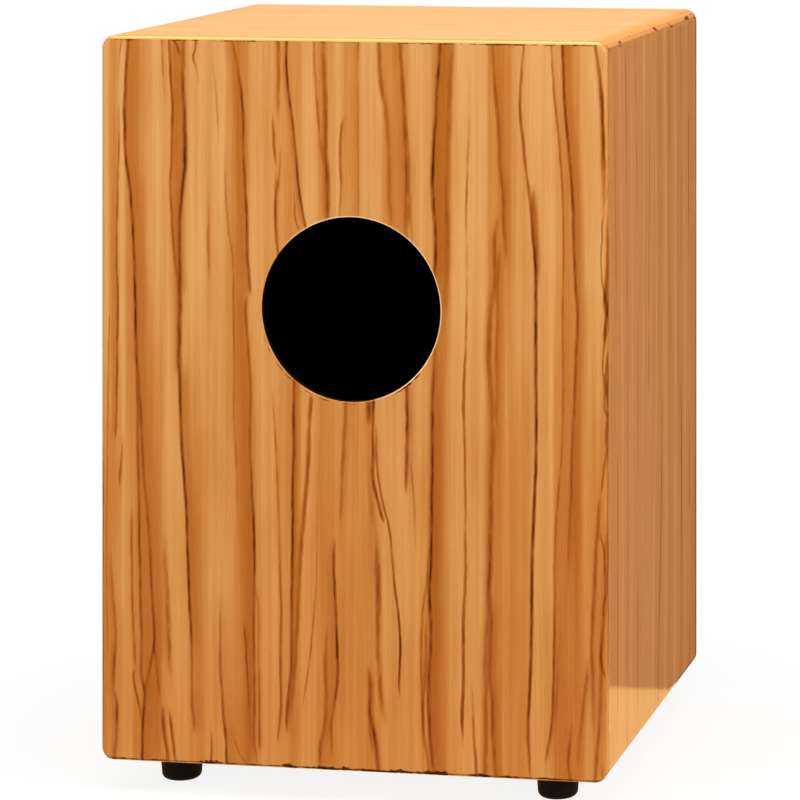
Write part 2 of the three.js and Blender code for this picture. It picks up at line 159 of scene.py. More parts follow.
def upright_ring(bm, points, y):
    return [bm.verts.new((x, y, z)) for x, z in points]


def edge_round(radius, steps, start, turn):
    """Points (inset, advance) of a quarter round that starts flush with the side."""
    points = []
    for i in range(steps + 1):
        angle = math.pi / 2 * i / steps
        points.append((radius * (1 - math.cos(angle)), start + turn * radius * math.sin(angle)))
    return points


CORNER_SIGNS = ((1, 1), (-1, 1), (-1, -1), (1, -1))


def corner_arc(index, low, high, steps, inset=0.0):
    """Points (x, z) on the box's rounded corner, with angles in degrees from +X towards +Z."""
    sign_x, sign_z = CORNER_SIGNS[index % 4]
    centre_x = sign_x * (HALF_WIDTH - CORNER_RADIUS)
    centre_z = (BODY_BOTTOM + BODY_TOP) / 2 + sign_z * ((BODY_TOP - BODY_BOTTOM) / 2 - CORNER_RADIUS)
    return arc((centre_x, centre_z), CORNER_RADIUS - inset, steps, low, high)


def outline(inset):
    points = []
    for index in range(4):
        points += corner_arc(index, index * 90, index * 90 + 90, CORNER_STEPS, inset)
    return points


# ---- Shader helpers ---------------------------------------------------------------------------
def shown(red, green, blue):
    """The linear colour that a screen shows as these 0-255 steps."""
    channels = []
    for step in (red, green, blue):
        value = step / 255
        channels.append(value / 12.92 if value <= 0.04045 else ((value + 0.055) / 1.055) ** 2.4)
    return (*channels, 1.0)


class Graph:
    """A node tree with short calls for the nodes that the finishes use. Lengths are millimetres."""

    def __init__(self, tree):
        self.tree = tree

    def feed(self, node, inputs):
        """Sets or links a node's sockets, which are given by name or number."""
        for socket, value in inputs.items():
            if isinstance(value, bpy.types.NodeSocket):
                self.tree.links.new(value, node.inputs[socket])
            else:
                node.inputs[socket].default_value = value

    def node(self, kind, inputs=None, **settings):
        made = self.tree.nodes.new(kind)
        for key, value in settings.items():
            setattr(made, key, value)
        self.feed(made, inputs or {})
        return made

    def math(self, operation, *values, clamp=False):
        inputs = dict(enumerate(values))
        return self.node("ShaderNodeMath", inputs, operation=operation, use_clamp=clamp).outputs[0]

    def plus(self, first, second):
        return self.math("ADD", first, second)

    def minus(self, first, second):
        return self.math("SUBTRACT", first, second)

    def times(self, first, second):
        return self.math("MULTIPLY", first, second)

    def over(self, first, second):
        return self.math("DIVIDE", first, second)

    def times_plus(self, value, factor, addend, clamp=False):
        return self.math("MULTIPLY_ADD", value, factor, addend, clamp=clamp)

    def larger(self, first, second):
        return self.math("MAXIMUM", first, second)

    def away(self, value, place):
        """How far a value is from a place, on either side of it."""
        return self.math("ABSOLUTE", self.minus(value, place))

    def swayed(self, value, noise, amount, clamp=False):
        """The value, moved up or down by at most half the amount as the noise goes."""
        return self.times_plus(self.minus(noise, 0.5), amount, value, clamp)

    def place(self):
        """The point on the piece, as a vector and as its x, y and z."""
        inputs = {0: self.node("ShaderNodeTexCoord").outputs["Object"], "Scale": 1000}
        point = self.node("ShaderNodeVectorMath", inputs, operation="SCALE").outputs[0]
        return (point, *self.node("ShaderNodeSeparateXYZ", {0: point}).outputs)

    def noise(self, point, size, detail=2.0, roughness=0.5, shift=(0, 0, 0)):
        """Noise whose blobs measure about size = (x, y, z) millimetres; about 0.5 on average."""
        inputs = {0: point, 1: [1 / length for length in size], 2: shift}
        stretched = self.node("ShaderNodeVectorMath", inputs, operation="MULTIPLY_ADD").outputs[0]
        inputs = {"Vector": stretched, "Scale": 1.0, "Detail": detail, "Roughness": roughness}
        return self.node("ShaderNodeTexNoise", inputs).outputs["Fac"]

    def grain(self, point, size, shift=(0, 0, 0)):
        """Noise with finer branches, for fibres, streaks and grit."""
        return self.noise(point, size, 3, 0.6, shift)

    def spread(self, value, low, high, to_low=0.0, to_high=1.0, smooth=True):
        """Maps low..high of a value to to_low..to_high and holds the ends."""
        inputs = {"Value": value, "From Min": low, "From Max": high, "To Min": to_low, "To Max": to_high}
        kind = "SMOOTHSTEP" if smooth else "LINEAR"
        return self.node("ShaderNodeMapRange", inputs, interpolation_type=kind).outputs["Result"]

    def curve(self, value, points, handle="AUTO"):
        """A drawn curve through (place, height) points, both within 0..1."""
        made = self.node("ShaderNodeFloatCurve", {"Value": value})
        made.mapping.extend = "HORIZONTAL"
        drawn = made.mapping.curves[0]
        for k, (place, height) in enumerate(points):
            if k < 2:
                drawn.points[k].location = (place, height)
            else:
                drawn.points.new(place, height)
        for point in drawn.points:
            point.handle_type = handle
        made.mapping.update()
        return made.outputs["Value"]

    def mix(self, factor, first, second, blend="MIX"):
        inputs = {"Factor": factor, 6: first, 7: second}
        return self.node("ShaderNodeMix", inputs, data_type="RGBA", blend_type=blend).outputs[2]

    def ramp(self, value, stops):
        made = self.node("ShaderNodeValToRGB", {0: value})
        elements = made.color_ramp.elements
        while len(elements) < len(stops):
            elements.new(0.5)
        for element, (place, color) in zip(elements, stops):
            element.position = place
            element.color = color
        return made.outputs["Color"]

    def bump(self, height, strength, distance):
        """Bump of a height field; distance is what a height of 1 stands for."""
        inputs = {"Strength": strength, "Distance": distance * MM, "Height": height}
        return self.node("ShaderNodeBump", inputs).outputs["Normal"]


def finish_material(name, build, **settings):
    """A material whose colour, roughness, metalness and normal come from build(graph, ...)."""
    material = bpy.data.materials.new(name)
    material.use_nodes = True
    graph = Graph(material.node_tree)
    graph.feed(material.node_tree.nodes["Principled BSDF"], build(graph, **settings))
    return material


# ---- Figured veneer ---------------------------------------------------------------------------
# The box in millimetres, as the finishes measure it.
HALF, LOW, HIGH = HALF_WIDTH / MM, BODY_BOTTOM / MM, BODY_TOP / MM
WIDTH, HEIGHT = 2 * HALF, HIGH - LOW

# The back panel's veneer is drawn vein by vein. Each vein is (half width, reach, depth of shade,
# points): its dark line has that half width, and an amber shade runs to the right of it over the
# reach, or to the left if the reach is negative. A point is (height above the floor, distance from
# the panel's left edge as seen from behind, darkness 0..1). All lengths are millimetres.
VEINS = (
    (1, 12, 0.45, ((480, 18.5, 0.6), (450, 16.5, 0.8), (420, 16, 0.85), (400, 17, 0.9), (380, 19.5, 0.9),
        (350, 21.5, 0.9), (320, 22.5, 0.95), (300, 23, 1), (280, 23.7, 0.9), (262, 25, 0.7), (230, 27, 0.65),
        (200, 29, 0.6), (160, 32.5, 0.6), (120, 34.2, 0.7), (97, 35.3, 0.8), (80, 32.5, 0.6), (68, 30, 0.8),
        (50, 28.5, 0.9), (20, 27.3, 0.9))),
    (0.9, 8, 0.5, ((272, 23.6, 0), (260, 23.8, 0.5), (220, 24.8, 0.6), (180, 25.5, 0.7), (120, 26.4, 0.7),
        (90, 27, 0.6), (76, 26.8, 0.7), (66, 28.6, 0.8), (58, 29, 0))),
    (0.8, 4, 0.3, ((98, 35.2, 0), (90, 36, 0.6), (75, 37.5, 0.6), (65, 38.6, 0.5), (60, 38.8, 0))),
    (0.7, 0, 0, ((79, 22.5, 0), (76, 21.5, 0.6), (68, 22.3, 0.7), (58, 24.8, 0.6), (50, 26.5, 0.5),
        (44, 27, 0))),
    (0.9, -4, 0.35, ((185, 20.6, 0), (170, 20.6, 0.4), (120, 21, 0.4), (85, 22.5, 0.4), (78, 23, 0))),
    (0.7, -5, 0.5, ((478, 14, 0.3), (465, 12, 0.2), (440, 12, 0.1), (415, 12, 0.4), (390, 11.2, 0.4),
        (370, 10.6, 0.5), (340, 10.2, 0.5), (315, 11, 0.7), (280, 10.8, 0.65), (250, 10.5, 0.6),
        (230, 9.8, 0.5), (220, 9.5, 0))),
    (0.7, 3, 0.3, ((228, 14.2, 0), (215, 13.8, 0.4), (202, 12.6, 0.6), (190, 11.8, 0))),
    (1, -4, 0.5, ((150, 6.5, 0.2), (125, 8, 0.4), (97, 9.6, 0.4), (85, 8.8, 0.8), (72, 8, 0.7),
        (65, 8.2, 0.3), (58, 10.3, 0.5), (50, 10.5, 0.8), (38, 10.4, 0.5), (22, 8.5, 0.5))),
    (0.5, 2, 0.3, ((330, 5.5, 0), (300, 5.5, 0.3), (250, 4.6, 0.3), (160, 3.6, 0.35), (100, 4, 0.35),
        (60, 4, 0))),
    (0.6, 0, 0, ((225, 0.6, 0), (200, 1, 0.6), (120, 0.9, 0.6), (50, 0.9, 0.6), (30, 0.9, 0.4))),
    (0.9, 8, 0.6, ((480, 45.5, 0.5), (460, 45.9, 0.7), (440, 47.3, 0.75), (420, 47.3, 0.65),
        (400, 46.7, 0.5), (385, 45.8, 0.5), (365, 47, 0.55), (340, 48.8, 0.55), (322, 51, 0.5),
        (315, 51.5, 0))),
    (1.3, -5, 0.4, ((480, 55, 0.4), (455, 54, 0.7), (430, 55.3, 0.8), (405, 55.4, 1), (385, 54, 0.9),
        (365, 52, 0.8), (330, 52, 0.8), (300, 52, 0.85), (272, 51.8, 0.85), (262, 52.2, 0))),
    (0.9, 9, 0.5, ((275, 51.9, 0), (262, 52.2, 0.9), (240, 52.7, 0.9), (212, 54.5, 0.9), (185, 56.5, 0.95),
        (165, 57.5, 0.95), (125, 58.6, 0.95), (105, 59.7, 0.8), (85, 60.4, 0.35), (70, 60.3, 0.35),
        (55, 60.7, 0.6), (45, 61.4, 0.6), (39, 61.6, 0))),
    (0.8, 0, 0, ((479, 47, 0.7), (475, 50, 0.9), (470, 51.6, 0.8), (467, 52, 0))),
    (0.7, 0, 0, ((479, 63, 0.8), (472, 62.4, 0.5), (468, 61, 0.7), (460, 63, 0.3), (445, 65, 0))),
    (0.7, 4, 0.3, ((480, 40.6, 0.4), (455, 41, 0.3), (430, 43, 0))),
    (0.7, 0, 0, ((475, 72.5, 0), (450, 75.5, 0.25), (430, 77, 0.25), (405, 77.5, 0))),
    (0.9, 3, 0.3, ((385, 71, 0), (360, 70.8, 0.35), (335, 71, 0.3), (320, 71, 0))),
    (0.8, 5, 0.3, ((415, 82, 0), (390, 82, 0.3), (360, 84, 0.3), (340, 87, 0.3), (310, 87.5, 0.4),
        (270, 88.3, 0.35), (240, 87.5, 0.3), (215, 89.3, 0.35), (190, 90, 0.3), (150, 91, 0))),
    (1, -8, 0.55, ((479, 86.5, 0.5), (460, 90.2, 0.6), (445, 92.5, 0.9), (430, 93.6, 0.8), (410, 94, 0.5),
        (390, 95, 0.7), (365, 96, 0.8), (345, 96.2, 0.7), (330, 97.4, 0.7), (321, 98.3, 0.5), (317, 99, 0))),
    (0.8, 5, 0.8, ((436, 94, 0), (420, 94, 0.35), (400, 94.5, 0.3), (385, 96, 0))),
    (0.9, -9, 0.6, ((319, 96.8, 0), (312, 95.5, 0.6), (285, 97.3, 0.6), (255, 98.7, 0.6), (225, 98, 0.55),
        (200, 99.2, 0.75), (178, 100.5, 0.95), (150, 101.3, 0.95), (130, 101, 0.7), (100, 100.8, 0.65),
        (60, 101, 0.65), (35, 101.2, 0.5), (24, 103, 0.2))),
    (0.8, 5, 0.4, ((140, 101.5, 0), (125, 103.6, 0.3), (90, 104, 0.3), (50, 104.3, 0.5), (34, 104.5, 0.6),
        (28, 104.5, 0))),
    (0.8, 5, 0.4, ((113, 94.3, 0), (103, 95.2, 0.8), (82, 96.3, 0.7), (60, 97.6, 0.65), (40, 98.8, 0.4),
        (25, 99.5, 0.2))),
    (0.9, 9, 0.5, ((135, 79, 0), (110, 78.8, 0.3), (90, 78.6, 0.45), (70, 79.6, 0.5), (52, 80.8, 0.6),
        (42, 82, 0.85), (22, 83.5, 0.75))),
    (0.8, 0, 0, ((46, 72.3, 0), (36, 73, 0.5), (20, 73, 0.5))),
    (1, 3, 0.4, ((60, 41, 0), (48, 41.2, 0.7), (36, 42.3, 0.85), (26, 44, 0.6), (20, 44, 0.6))),
    (0.8, 2, 0.4, ((57, 45, 0), (45, 46.2, 0.7), (34, 47.6, 0.8), (22, 49, 0.5))),
    (1.6, -5, 0.5, ((175, 42, 0), (150, 43, 0.3), (115, 44.4, 0.4), (85, 45.8, 0.35), (60, 47, 0))),
    (0.8, 0, 0, ((44, 86, 0), (36, 88.5, 0.3), (28, 92, 0.35), (22, 97, 0.5))),
    (1.3, -5, 0.5, ((478, 116.6, 0.5), (460, 117.2, 0.45), (440, 117, 0.35), (425, 117, 0))),
    (0.9, 3, 0.3, ((435, 113.3, 0), (420, 114, 0.6), (408, 114.6, 0.5), (398, 115.5, 0.1), (385, 115.6, 0.5),
        (372, 115, 0.7), (355, 115.6, 0.6), (342, 116.8, 0.4))),
    (0.8, 0, 0, ((420, 119, 0), (400, 118.2, 0.45), (386, 117, 0.4), (380, 116, 0))),
    (0.8, -4, 0.5, ((480, 122.2, 0.8), (465, 122, 0.95), (448, 123.4, 0.85), (430, 126, 0.75),
        (408, 128.5, 0.8), (388, 130, 0.85), (374, 132, 0.9), (360, 134.8, 0.6), (355, 136, 0.3))),
    (0.7, 0, 0, ((392, 128, 0), (375, 127.6, 0.4), (365, 128.3, 0.45), (359, 130.5, 0.3), (355, 132, 0))),
    (1.5, -7, 0.6, ((478, 146, 0.4), (455, 147, 0.55), (430, 147.7, 0.65), (410, 147.8, 0.6),
        (390, 148.6, 0.8), (375, 148.8, 0.7), (366, 148.8, 0.4))),
    (1, 0, 0, ((478, 140, 0.3), (455, 141, 0.4), (435, 142.6, 0.4), (410, 145, 0.3), (395, 147, 0))),
    (0.9, 4, 0.3, ((434, 160, 0), (424, 158.2, 0.45), (405, 157.3, 0.45), (385, 157.8, 0.35),
        (368, 156.5, 0.35))),
    (0.8, -4, 0.3, ((480, 169, 0.5), (474, 168.8, 0.5), (465, 168.6, 0.15), (430, 168.7, 0.35),
        (400, 168.7, 0.3), (366, 169, 0.3))),
    (1.5, 5, 0.4, ((478, 182.4, 0.4), (452, 183.8, 0.55), (432, 187, 0.4), (410, 188.6, 0.35),
        (385, 189, 0.45), (366, 190, 0.35))),
    (1.3, -8, 0.55, ((479, 196, 0.6), (460, 197, 0.6), (440, 198.2, 0.6), (412, 199.5, 0.7),
        (395, 200.2, 0.65), (370, 199.8, 0.5), (352, 199.5, 0.4))),
    (1.2, 5, 0.5, ((430, 200, 0), (405, 201.5, 0.35), (375, 202.3, 0.35), (350, 203, 0.2))),
    (1.2, 10, 0.7, ((479, 222, 0.75), (460, 220.5, 0.95), (435, 218.9, 0.8), (410, 217.6, 1),
        (390, 217.2, 0.95), (368, 218.3, 0.9), (350, 218.8, 0.95), (332, 218.5, 0.8), (315, 218, 0.4),
        (282, 218.5, 0.5), (262, 217.3, 0.7), (240, 216.9, 0.9), (205, 216.4, 0.95), (160, 216, 1),
        (135, 215, 0.95), (112, 216, 0.85), (80, 214.7, 0.85), (45, 215.6, 0.85), (20, 218.6, 0.6))),
    (0.8, 4, 0.35, ((165, 213.8, 0), (145, 213.3, 0.45), (120, 210.4, 0.35), (100, 209.6, 0.45),
        (60, 210.4, 0.45), (40, 210.8, 0.2))),
    (0.8, 0, 0, ((128, 213.3, 0), (105, 212.8, 0.5), (80, 211.9, 0.5), (52, 211, 0.5), (36, 213, 0.5),
        (24, 215, 0.4))),
    (1, 5, 0.5, ((262, 127.3, 0.9), (245, 126.7, 0.85), (225, 127, 0.9), (195, 126.3, 0.9), (165, 126.4, 1),
        (140, 126, 0.8), (105, 125.6, 0.6), (80, 125.2, 0.7), (62, 123, 0.7), (48, 122.3, 0.6),
        (41, 122.6, 0))),
    (1.2, -3, 0.4, ((252, 138, 0.6), (236, 137, 0.4), (210, 136, 0.6), (178, 133.3, 0.6), (150, 131, 0.55),
        (115, 129.4, 0.5), (85, 127.6, 0.5), (60, 125.2, 0.4), (50, 124, 0))),
    (0.8, 3, 0.3, ((255, 113, 0.2), (225, 114.8, 0.35), (205, 116, 0.35), (165, 117.5, 0.25),
        (125, 118.7, 0.55), (90, 118.3, 0.5), (55, 118.3, 0.55), (42, 117, 0.5), (34, 116.5, 0))),
    (1.2, 6, 0.6, ((252, 161, 0.4), (225, 159.3, 0.45), (190, 157.5, 0.35), (150, 156, 0))),
    (0.6, 0, 0, ((225, 143.7, 0.2), (190, 142.5, 0.2), (140, 141.5, 0.25), (100, 138.4, 0.45),
        (75, 135.3, 0.45), (55, 132, 0))),
    (0.9, 0, 0, ((254, 178.7, 1), (246, 178.5, 0.7), (235, 178.3, 0.5), (218, 178.2, 0.95), (204, 178, 0.8),
        (193, 180.7, 0.85), (181, 184, 0.8), (176, 185.5, 0))),
    (1.8, 4, 0.6, ((252, 175.8, 0.7), (245, 176, 0.8), (238, 175.5, 0.2), (225, 175, 0.1), (180, 178, 0.3),
        (160, 181, 0))),
    (0.7, 0, 0, ((235, 180.4, 0.4), (210, 181, 0.5), (192, 184, 0.55), (175, 188.5, 0.65), (155, 190.6, 0.5),
        (137, 192.5, 0.65), (119, 195, 0.85), (105, 196, 1), (90, 196, 0.95), (75, 195.4, 0.6),
        (66, 195.8, 0))),
    (1, 6, 0.4, ((262, 200.6, 0.8), (238, 200.6, 0.95), (222, 200, 0.75), (204, 199.7, 0.6),
        (194, 199.8, 0))),
    (0.7, 0, 0, ((222, 201.8, 0), (208, 203.5, 0.35), (180, 205.5, 0.3), (150, 206, 0))),
    (0.9, -6, 0.35, ((168, 153.5, 0), (155, 152.8, 0.75), (135, 153.3, 0.8), (112, 154.5, 0.75),
        (98, 155, 1), (74, 155.3, 0.9), (62, 153.3, 0.6), (50, 151.3, 0.6), (36, 151.6, 0.5),
        (26, 151.5, 0))),
    (1.1, 5, 0.4, ((118, 149, 0), (92, 147.7, 0.5), (60, 148, 0.5), (48, 147, 0.6), (35, 144.3, 0.75),
        (22, 144.5, 0.4))),
    (1.7, 0, 0, ((172, 180.5, 0), (150, 181, 0.65), (132, 181.7, 0.7), (105, 181.5, 0.4), (78, 183, 0.45),
        (60, 185, 0.35), (46, 188, 0))),
    (1.3, 4, 0.4, ((90, 175.6, 0), (74, 177, 0.75), (55, 176.8, 0.8), (48, 178.4, 0.9), (36, 180.2, 0.8),
        (20, 182, 0.7))),
    (0.7, 0, 0, ((58, 176.5, 0), (45, 176.3, 0.7), (34, 178, 0.3), (28, 178.5, 0))),
    (1.8, -5, 0.4, ((478, 230, 0.3), (452, 227.5, 0.5), (430, 227, 0.5), (400, 226, 0.4), (365, 226, 0.6),
        (338, 225.6, 0.5), (310, 225, 0.3), (285, 224, 0))),
    (1.2, 6, 0.6, ((472, 255.6, 0.4), (450, 257.2, 0.6), (425, 259.3, 0.65), (400, 260, 0.65),
        (385, 262.3, 0.8), (370, 262.6, 0.7), (350, 263.8, 0.4), (335, 264, 0))),
    (1.4, -5, 0.5, ((375, 260, 0), (355, 256.8, 0.6), (335, 257, 0.6), (312, 254.2, 0.5), (288, 253.2, 0.7),
        (265, 254.2, 0.5), (240, 255.2, 0.45), (205, 254.6, 0.6), (165, 254, 0.7), (140, 253, 0.75),
        (122, 252.6, 0.5), (100, 251, 0.35), (65, 251.2, 0.5), (22, 251, 0.5))),
    (1.2, 5, 0.6, ((355, 259.8, 0), (342, 259.4, 0.5), (325, 258.6, 0.4), (285, 258, 0.45), (255, 258, 0.4),
        (225, 257.3, 0.2), (205, 257, 0))),
    (1.3, 6, 0.7, ((135, 253.2, 0), (120, 254.5, 0.6), (100, 254.3, 0.65), (85, 253.9, 0.5),
        (70, 255.3, 0.65), (45, 256, 0.65), (22, 257.8, 0.6))),
    (0.9, 0, 0, ((460, 240.5, 0.1), (425, 240, 0.2), (385, 238.7, 0.35), (350, 238.8, 0.2),
        (290, 238.4, 0.35), (252, 236.8, 0.6), (225, 237.4, 0.4), (180, 238, 0.35), (145, 237.8, 0.55),
        (110, 236.8, 0.75), (80, 236.8, 0.65), (58, 235.8, 0.9), (44, 236.3, 0.3), (36, 236.5, 0))),
    (0.9, 0, 0, ((85, 241.5, 0), (65, 242.8, 0.35), (45, 243.5, 0.4), (30, 245, 0.5), (20, 245.5, 0.5))),
    (0.9, 0, 0, ((479, 275.7, 0.3), (462, 274.3, 0.4), (440, 273, 0.6), (422, 274.3, 0.6), (400, 276.5, 0.5),
        (388, 278.2, 0.5), (372, 280.2, 0.6), (360, 281, 0.8), (340, 283, 1), (300, 283, 1),
        (240, 283.3, 0.9), (205, 282.6, 0.9), (178, 281.4, 0.95), (150, 280.6, 0.95), (100, 280.2, 0.9),
        (78, 279.2, 0.9), (50, 278.3, 0.8), (35, 279, 0.5), (22, 279.5, 0.3))),
    (1.4, 4, 0.7, ((392, 280.5, 0), (378, 281.5, 0.5), (362, 282.4, 0.6), (345, 283.6, 0.5),
        (325, 284.5, 0))),
    (1, 9, 0.6, ((479, 300.4, 0.8), (450, 301, 0.8), (428, 302.5, 0.85), (405, 304.7, 0.8),
        (385, 306.3, 0.85), (355, 307.2, 0.85), (335, 308.2, 0.7), (310, 309.8, 0.7), (280, 308.7, 0.7),
        (250, 307.5, 0.65), (225, 306, 0.65), (195, 305.4, 0.6), (165, 304, 0.45), (130, 303.3, 0))),
    (0.8, 5, 0.35, ((478, 293, 0.3), (450, 294.6, 0.4), (420, 297.6, 0.45), (395, 299.4, 0.45),
        (365, 300.6, 0.4), (300, 300.3, 0.4), (255, 300.5, 0.4), (225, 299.4, 0.4), (195, 297, 0.45),
        (160, 295.2, 0.35), (135, 295.2, 0.4), (110, 295, 0.65), (80, 294.3, 0.7), (52, 293, 0.65),
        (38, 290.6, 0.5), (30, 289, 0))),
    (0.9, 0, 0, ((118, 298.5, 0), (85, 297.2, 0.4), (60, 295.5, 0.45), (46, 294.8, 0))),
    (1, -3, 0.4, ((478, 321, 0.4), (460, 323.4, 0.6), (440, 325, 0.75), (410, 325.8, 0.65), (388, 326, 0.3),
        (370, 325.5, 0))),
    (0.8, 0, 0, ((380, 327.3, 0), (355, 328, 0.4), (335, 327.8, 0.6), (322, 327.2, 0.9), (312, 327.8, 0.9),
        (299, 326.7, 1), (290, 326.6, 0))),
    (0.6, 0, 0, ((296, 328.7, 0), (280, 327.8, 0.7), (272, 327.5, 1), (262, 328, 0.7), (245, 328.4, 0.6),
        (215, 328.2, 0.3), (180, 328.4, 0.4), (140, 328.3, 0.2), (100, 328.6, 0.3), (50, 328.8, 0.4))),
    (1.1, 3, 0.3, ((215, 323.5, 0), (190, 323, 0.45), (165, 321.5, 0.55), (135, 320, 0.65),
        (112, 318.8, 0.5), (92, 319, 0.5), (60, 319.8, 0.3), (45, 320, 0))),
    (1, -3, 0.3, ((185, 327, 0), (160, 327.4, 0.5), (130, 326.6, 0.45), (105, 325, 0.65), (85, 324.6, 0.5),
        (62, 323.7, 0.45), (42, 322.4, 0.55), (22, 320.5, 0.5))),
    (1.1, 5, 0.6, ((102, 315, 0), (85, 315.3, 0.5), (65, 312.8, 0.45), (45, 310.8, 0.4), (32, 309.8, 0.2))),
    (0.9, 0, 0, ((62, 306, 0), (42, 304.7, 0.75), (32, 304, 0.85), (22, 305, 0.5))),
)

# Breadth of the tone between the veins, from pale 0 to brown 1, across the panel in millimetres:
# first at the panel's upper third, then at its lower third.
UPPER_TONE = (
    (0, 0.3), (3, 0.05), (8, 0.6), (14, 0.1), (20, 0.7), (30, 0.35), (39, 0.15), (47, 0.6), (52, 0.75),
    (59, 0.1), (73, 0.25), (80, 0.1), (88, 0.7), (96, 0.6), (102, 0.2), (110, 0.35), (116, 0.25), (125, 0.6),
    (132, 0.25), (139, 0.1), (147, 0.5), (155, 0.25), (164, 0.5), (171, 0.35), (178, 0.1), (186, 0.45),
    (196, 0.6), (207, 0.15), (215, 0.3), (223, 0.85), (231, 0.15), (247, 0.05), (253, 0.55), (261, 0.75),
    (268, 0.5), (278, 0.2), (290, 0.1), (299, 0.45), (306, 0.6), (317, 0.15), (328, 0.35),
)
LOWER_TONE = (
    (0, 0.35), (5, 0.5), (12, 0.5), (16, 0.2), (23, 0.6), (32, 0.75), (40, 0.65), (48, 0.2), (55, 0.25),
    (64, 0.6), (75, 0.35), (84, 0.35), (95, 0.75), (102, 0.65), (110, 0.25), (120, 0.4), (128, 0.55),
    (134, 0.25), (141, 0.3), (149, 0.65), (160, 0.45), (175, 0.5), (186, 0.3), (198, 0.3), (212, 0.35),
    (219, 0.75), (228, 0.35), (242, 0.15), (250, 0.4), (257, 0.75), (265, 0.45), (273, 0.5), (284, 0.2),
    (293, 0.3), (301, 0.8), (311, 0.75), (317, 0.4), (323, 0.6), (328, 0.3),
)

VENEER_STOPS = ((0.0, shown(224, 162, 94)), (0.5, shown(205, 134, 60)), (1.0, shown(186, 104, 22)))
AMBER = shown(178, 96, 4)
DARKEST = shown(76, 28, 4)
VEIN_STOPS = (
    (0.0, shown(186, 108, 24)), (0.5, shown(166, 88, 8)), (0.78, shown(126, 58, 6)), (1.0, DARKEST),
)
EDGE_LIGHT = shown(240, 158, 90)  # the light that the rounding between seat and sides catches

LINE_CORE, LINE_EDGE = 0.15, 1.8  # where a line starts to fade and where it ends, in half widths
SHADE_STRENGTH = 1.5
TONE_CHANGE = (190, 350)  # heights between which the lower tone gives way to the upper one
LOW_SHADE_PAINT = (60, 480, 0.4, 0.0)  # lowest and highest place, and how much painted shade darkens the veneer towards orange there
FADE = 6  # a vein that ends inside the panel fades out within this
LOWEST_END, HIGHEST_END = LOW + 4, HIGH - 8  # a vein that comes this near the edge runs off it


def vein_group(shaded):
    """Shared sums of one vein, with or without a shade at its side. It lowers the masks of what is
    left of the plain veneer, which start at 1; widths are fractions of the panel's width."""
    tree = bpy.data.node_groups.new("shaded_vein" if shaded else "plain_vein", "ShaderNodeTree")
    masks = ["Line Left", "Shade Left"] if shaded else ["Line Left"]
    shade_inputs = ["Turns", "Shade"] if shaded else []
    for name in ["Across", "Centre", "Darkness", "Core", "Edge"] + shade_inputs + masks:
        tree.interface.new_socket(name, in_out="INPUT", socket_type="NodeSocketFloat")
    for name in masks:
        tree.interface.new_socket(name, in_out="OUTPUT", socket_type="NodeSocketFloat")
    g = Graph(tree)
    given = g.node("NodeGroupInput").outputs
    output = g.node("NodeGroupOutput")
    offset = g.minus(given["Across"], given["Centre"])
    line = g.spread(g.math("ABSOLUTE", offset), given["Core"], given["Edge"], -1, 0, smooth=False)
    line = g.times(line, given["Darkness"])
    g.feed(output, {"Line Left": g.times_plus(line, given["Line Left"], given["Line Left"])})
    if shaded:
        along = g.times(offset, given["Turns"])
        side = g.times(g.math("GREATER_THAN", along, 0), g.spread(along, 0.3, 1.0, -1, 0))
        side = g.times(side, g.times(given["Darkness"], given["Shade"]))
        g.feed(output, {"Shade Left": g.times_plus(side, given["Shade Left"], given["Shade Left"])})
    return tree


SHADED_VEIN, PLAIN_VEIN = vein_group(True), vein_group(False)


def closed(points):
    """The points from the lowest up, with faded ends where the vein ends inside the panel."""
    rising = sorted(points)
    if rising[0][0] > LOWEST_END:
        rising.insert(0, (rising[0][0] - FADE, rising[0][1], 0))
    if rising[-1][0] < HIGHEST_END:
        rising.append((rising[-1][0] + FADE, rising[-1][1], 0))
    return rising


def veins(g, across, up):
    """Masks (line, shade) of all the veins, 1 where they are darkest."""
    line_left, shade_left = 1.0, 1.0
    for half_width, reach, shade, points in VEINS:
        rising = closed(points)
        # Each vein hangs on the one before, so that the renderer works them out one by one.
        up = g.times_plus(line_left, 1e-9, up)
        vein = g.node("ShaderNodeGroup", node_tree=SHADED_VEIN if reach else PLAIN_VEIN)
        g.feed(vein, {
            "Across": across,
            "Centre": g.curve(up, [((z - LOW) / HEIGHT, off / WIDTH) for z, off, dark in rising]),
            "Darkness": g.curve(up, [((z - LOW) / HEIGHT, dark) for z, off, dark in rising], "VECTOR"),
            "Core": LINE_CORE * half_width / WIDTH,
            "Edge": LINE_EDGE * half_width / WIDTH,
            "Line Left": line_left,
        })
        line_left = vein.outputs["Line Left"]
        if reach:
            strength = SHADE_STRENGTH * shade
            g.feed(vein, {"Turns": WIDTH / reach, "Shade": strength, "Shade Left": shade_left})
            shade_left = vein.outputs["Shade Left"]
    return g.minus(1.0, line_left), g.minus(1.0, shade_left)


def from_hole(g, x, z):
    """How far a place is from the middle of the hole, and how far above it."""
    rise = g.minus(z, HOLE_CENTRE[1] / MM)
    return g.math("SQRT", g.plus(g.times(x, x), g.times(rise, rise))), rise


def painted_rim_highlight(g, x, z):
    """A painted highlight round the hole: a pale ring on the veneer's cut edge, strongest on the side that
    catches the light.
    """
    radius, rise = from_hole(g, x, z)
    off = g.away(radius, HOLE_RADIUS / MM + 0.3)
    facing = g.times_plus(x, -0.85, g.times(rise, 0.5))
    return g.times(g.spread(off, 0.1, 0.7, 1, 0), g.spread(facing, -30, 10, 0.0, 0.9))


def loose_veins(g, point, x, z):
    """Thin veins where the back panel has its hole, for the sheet that has none."""
    radius = from_hole(g, x, z)[0]
    grain = g.times_plus(x, 1 / 17, g.times(g.noise(point, (40, 40, 190), detail=1), 2.6))
    line = g.spread(g.math("PINGPONG", grain, 0.5), 0.0, 0.07, 0.85, 0)
    return g.times(line, g.spread(radius, 44, 70, 1, 0))


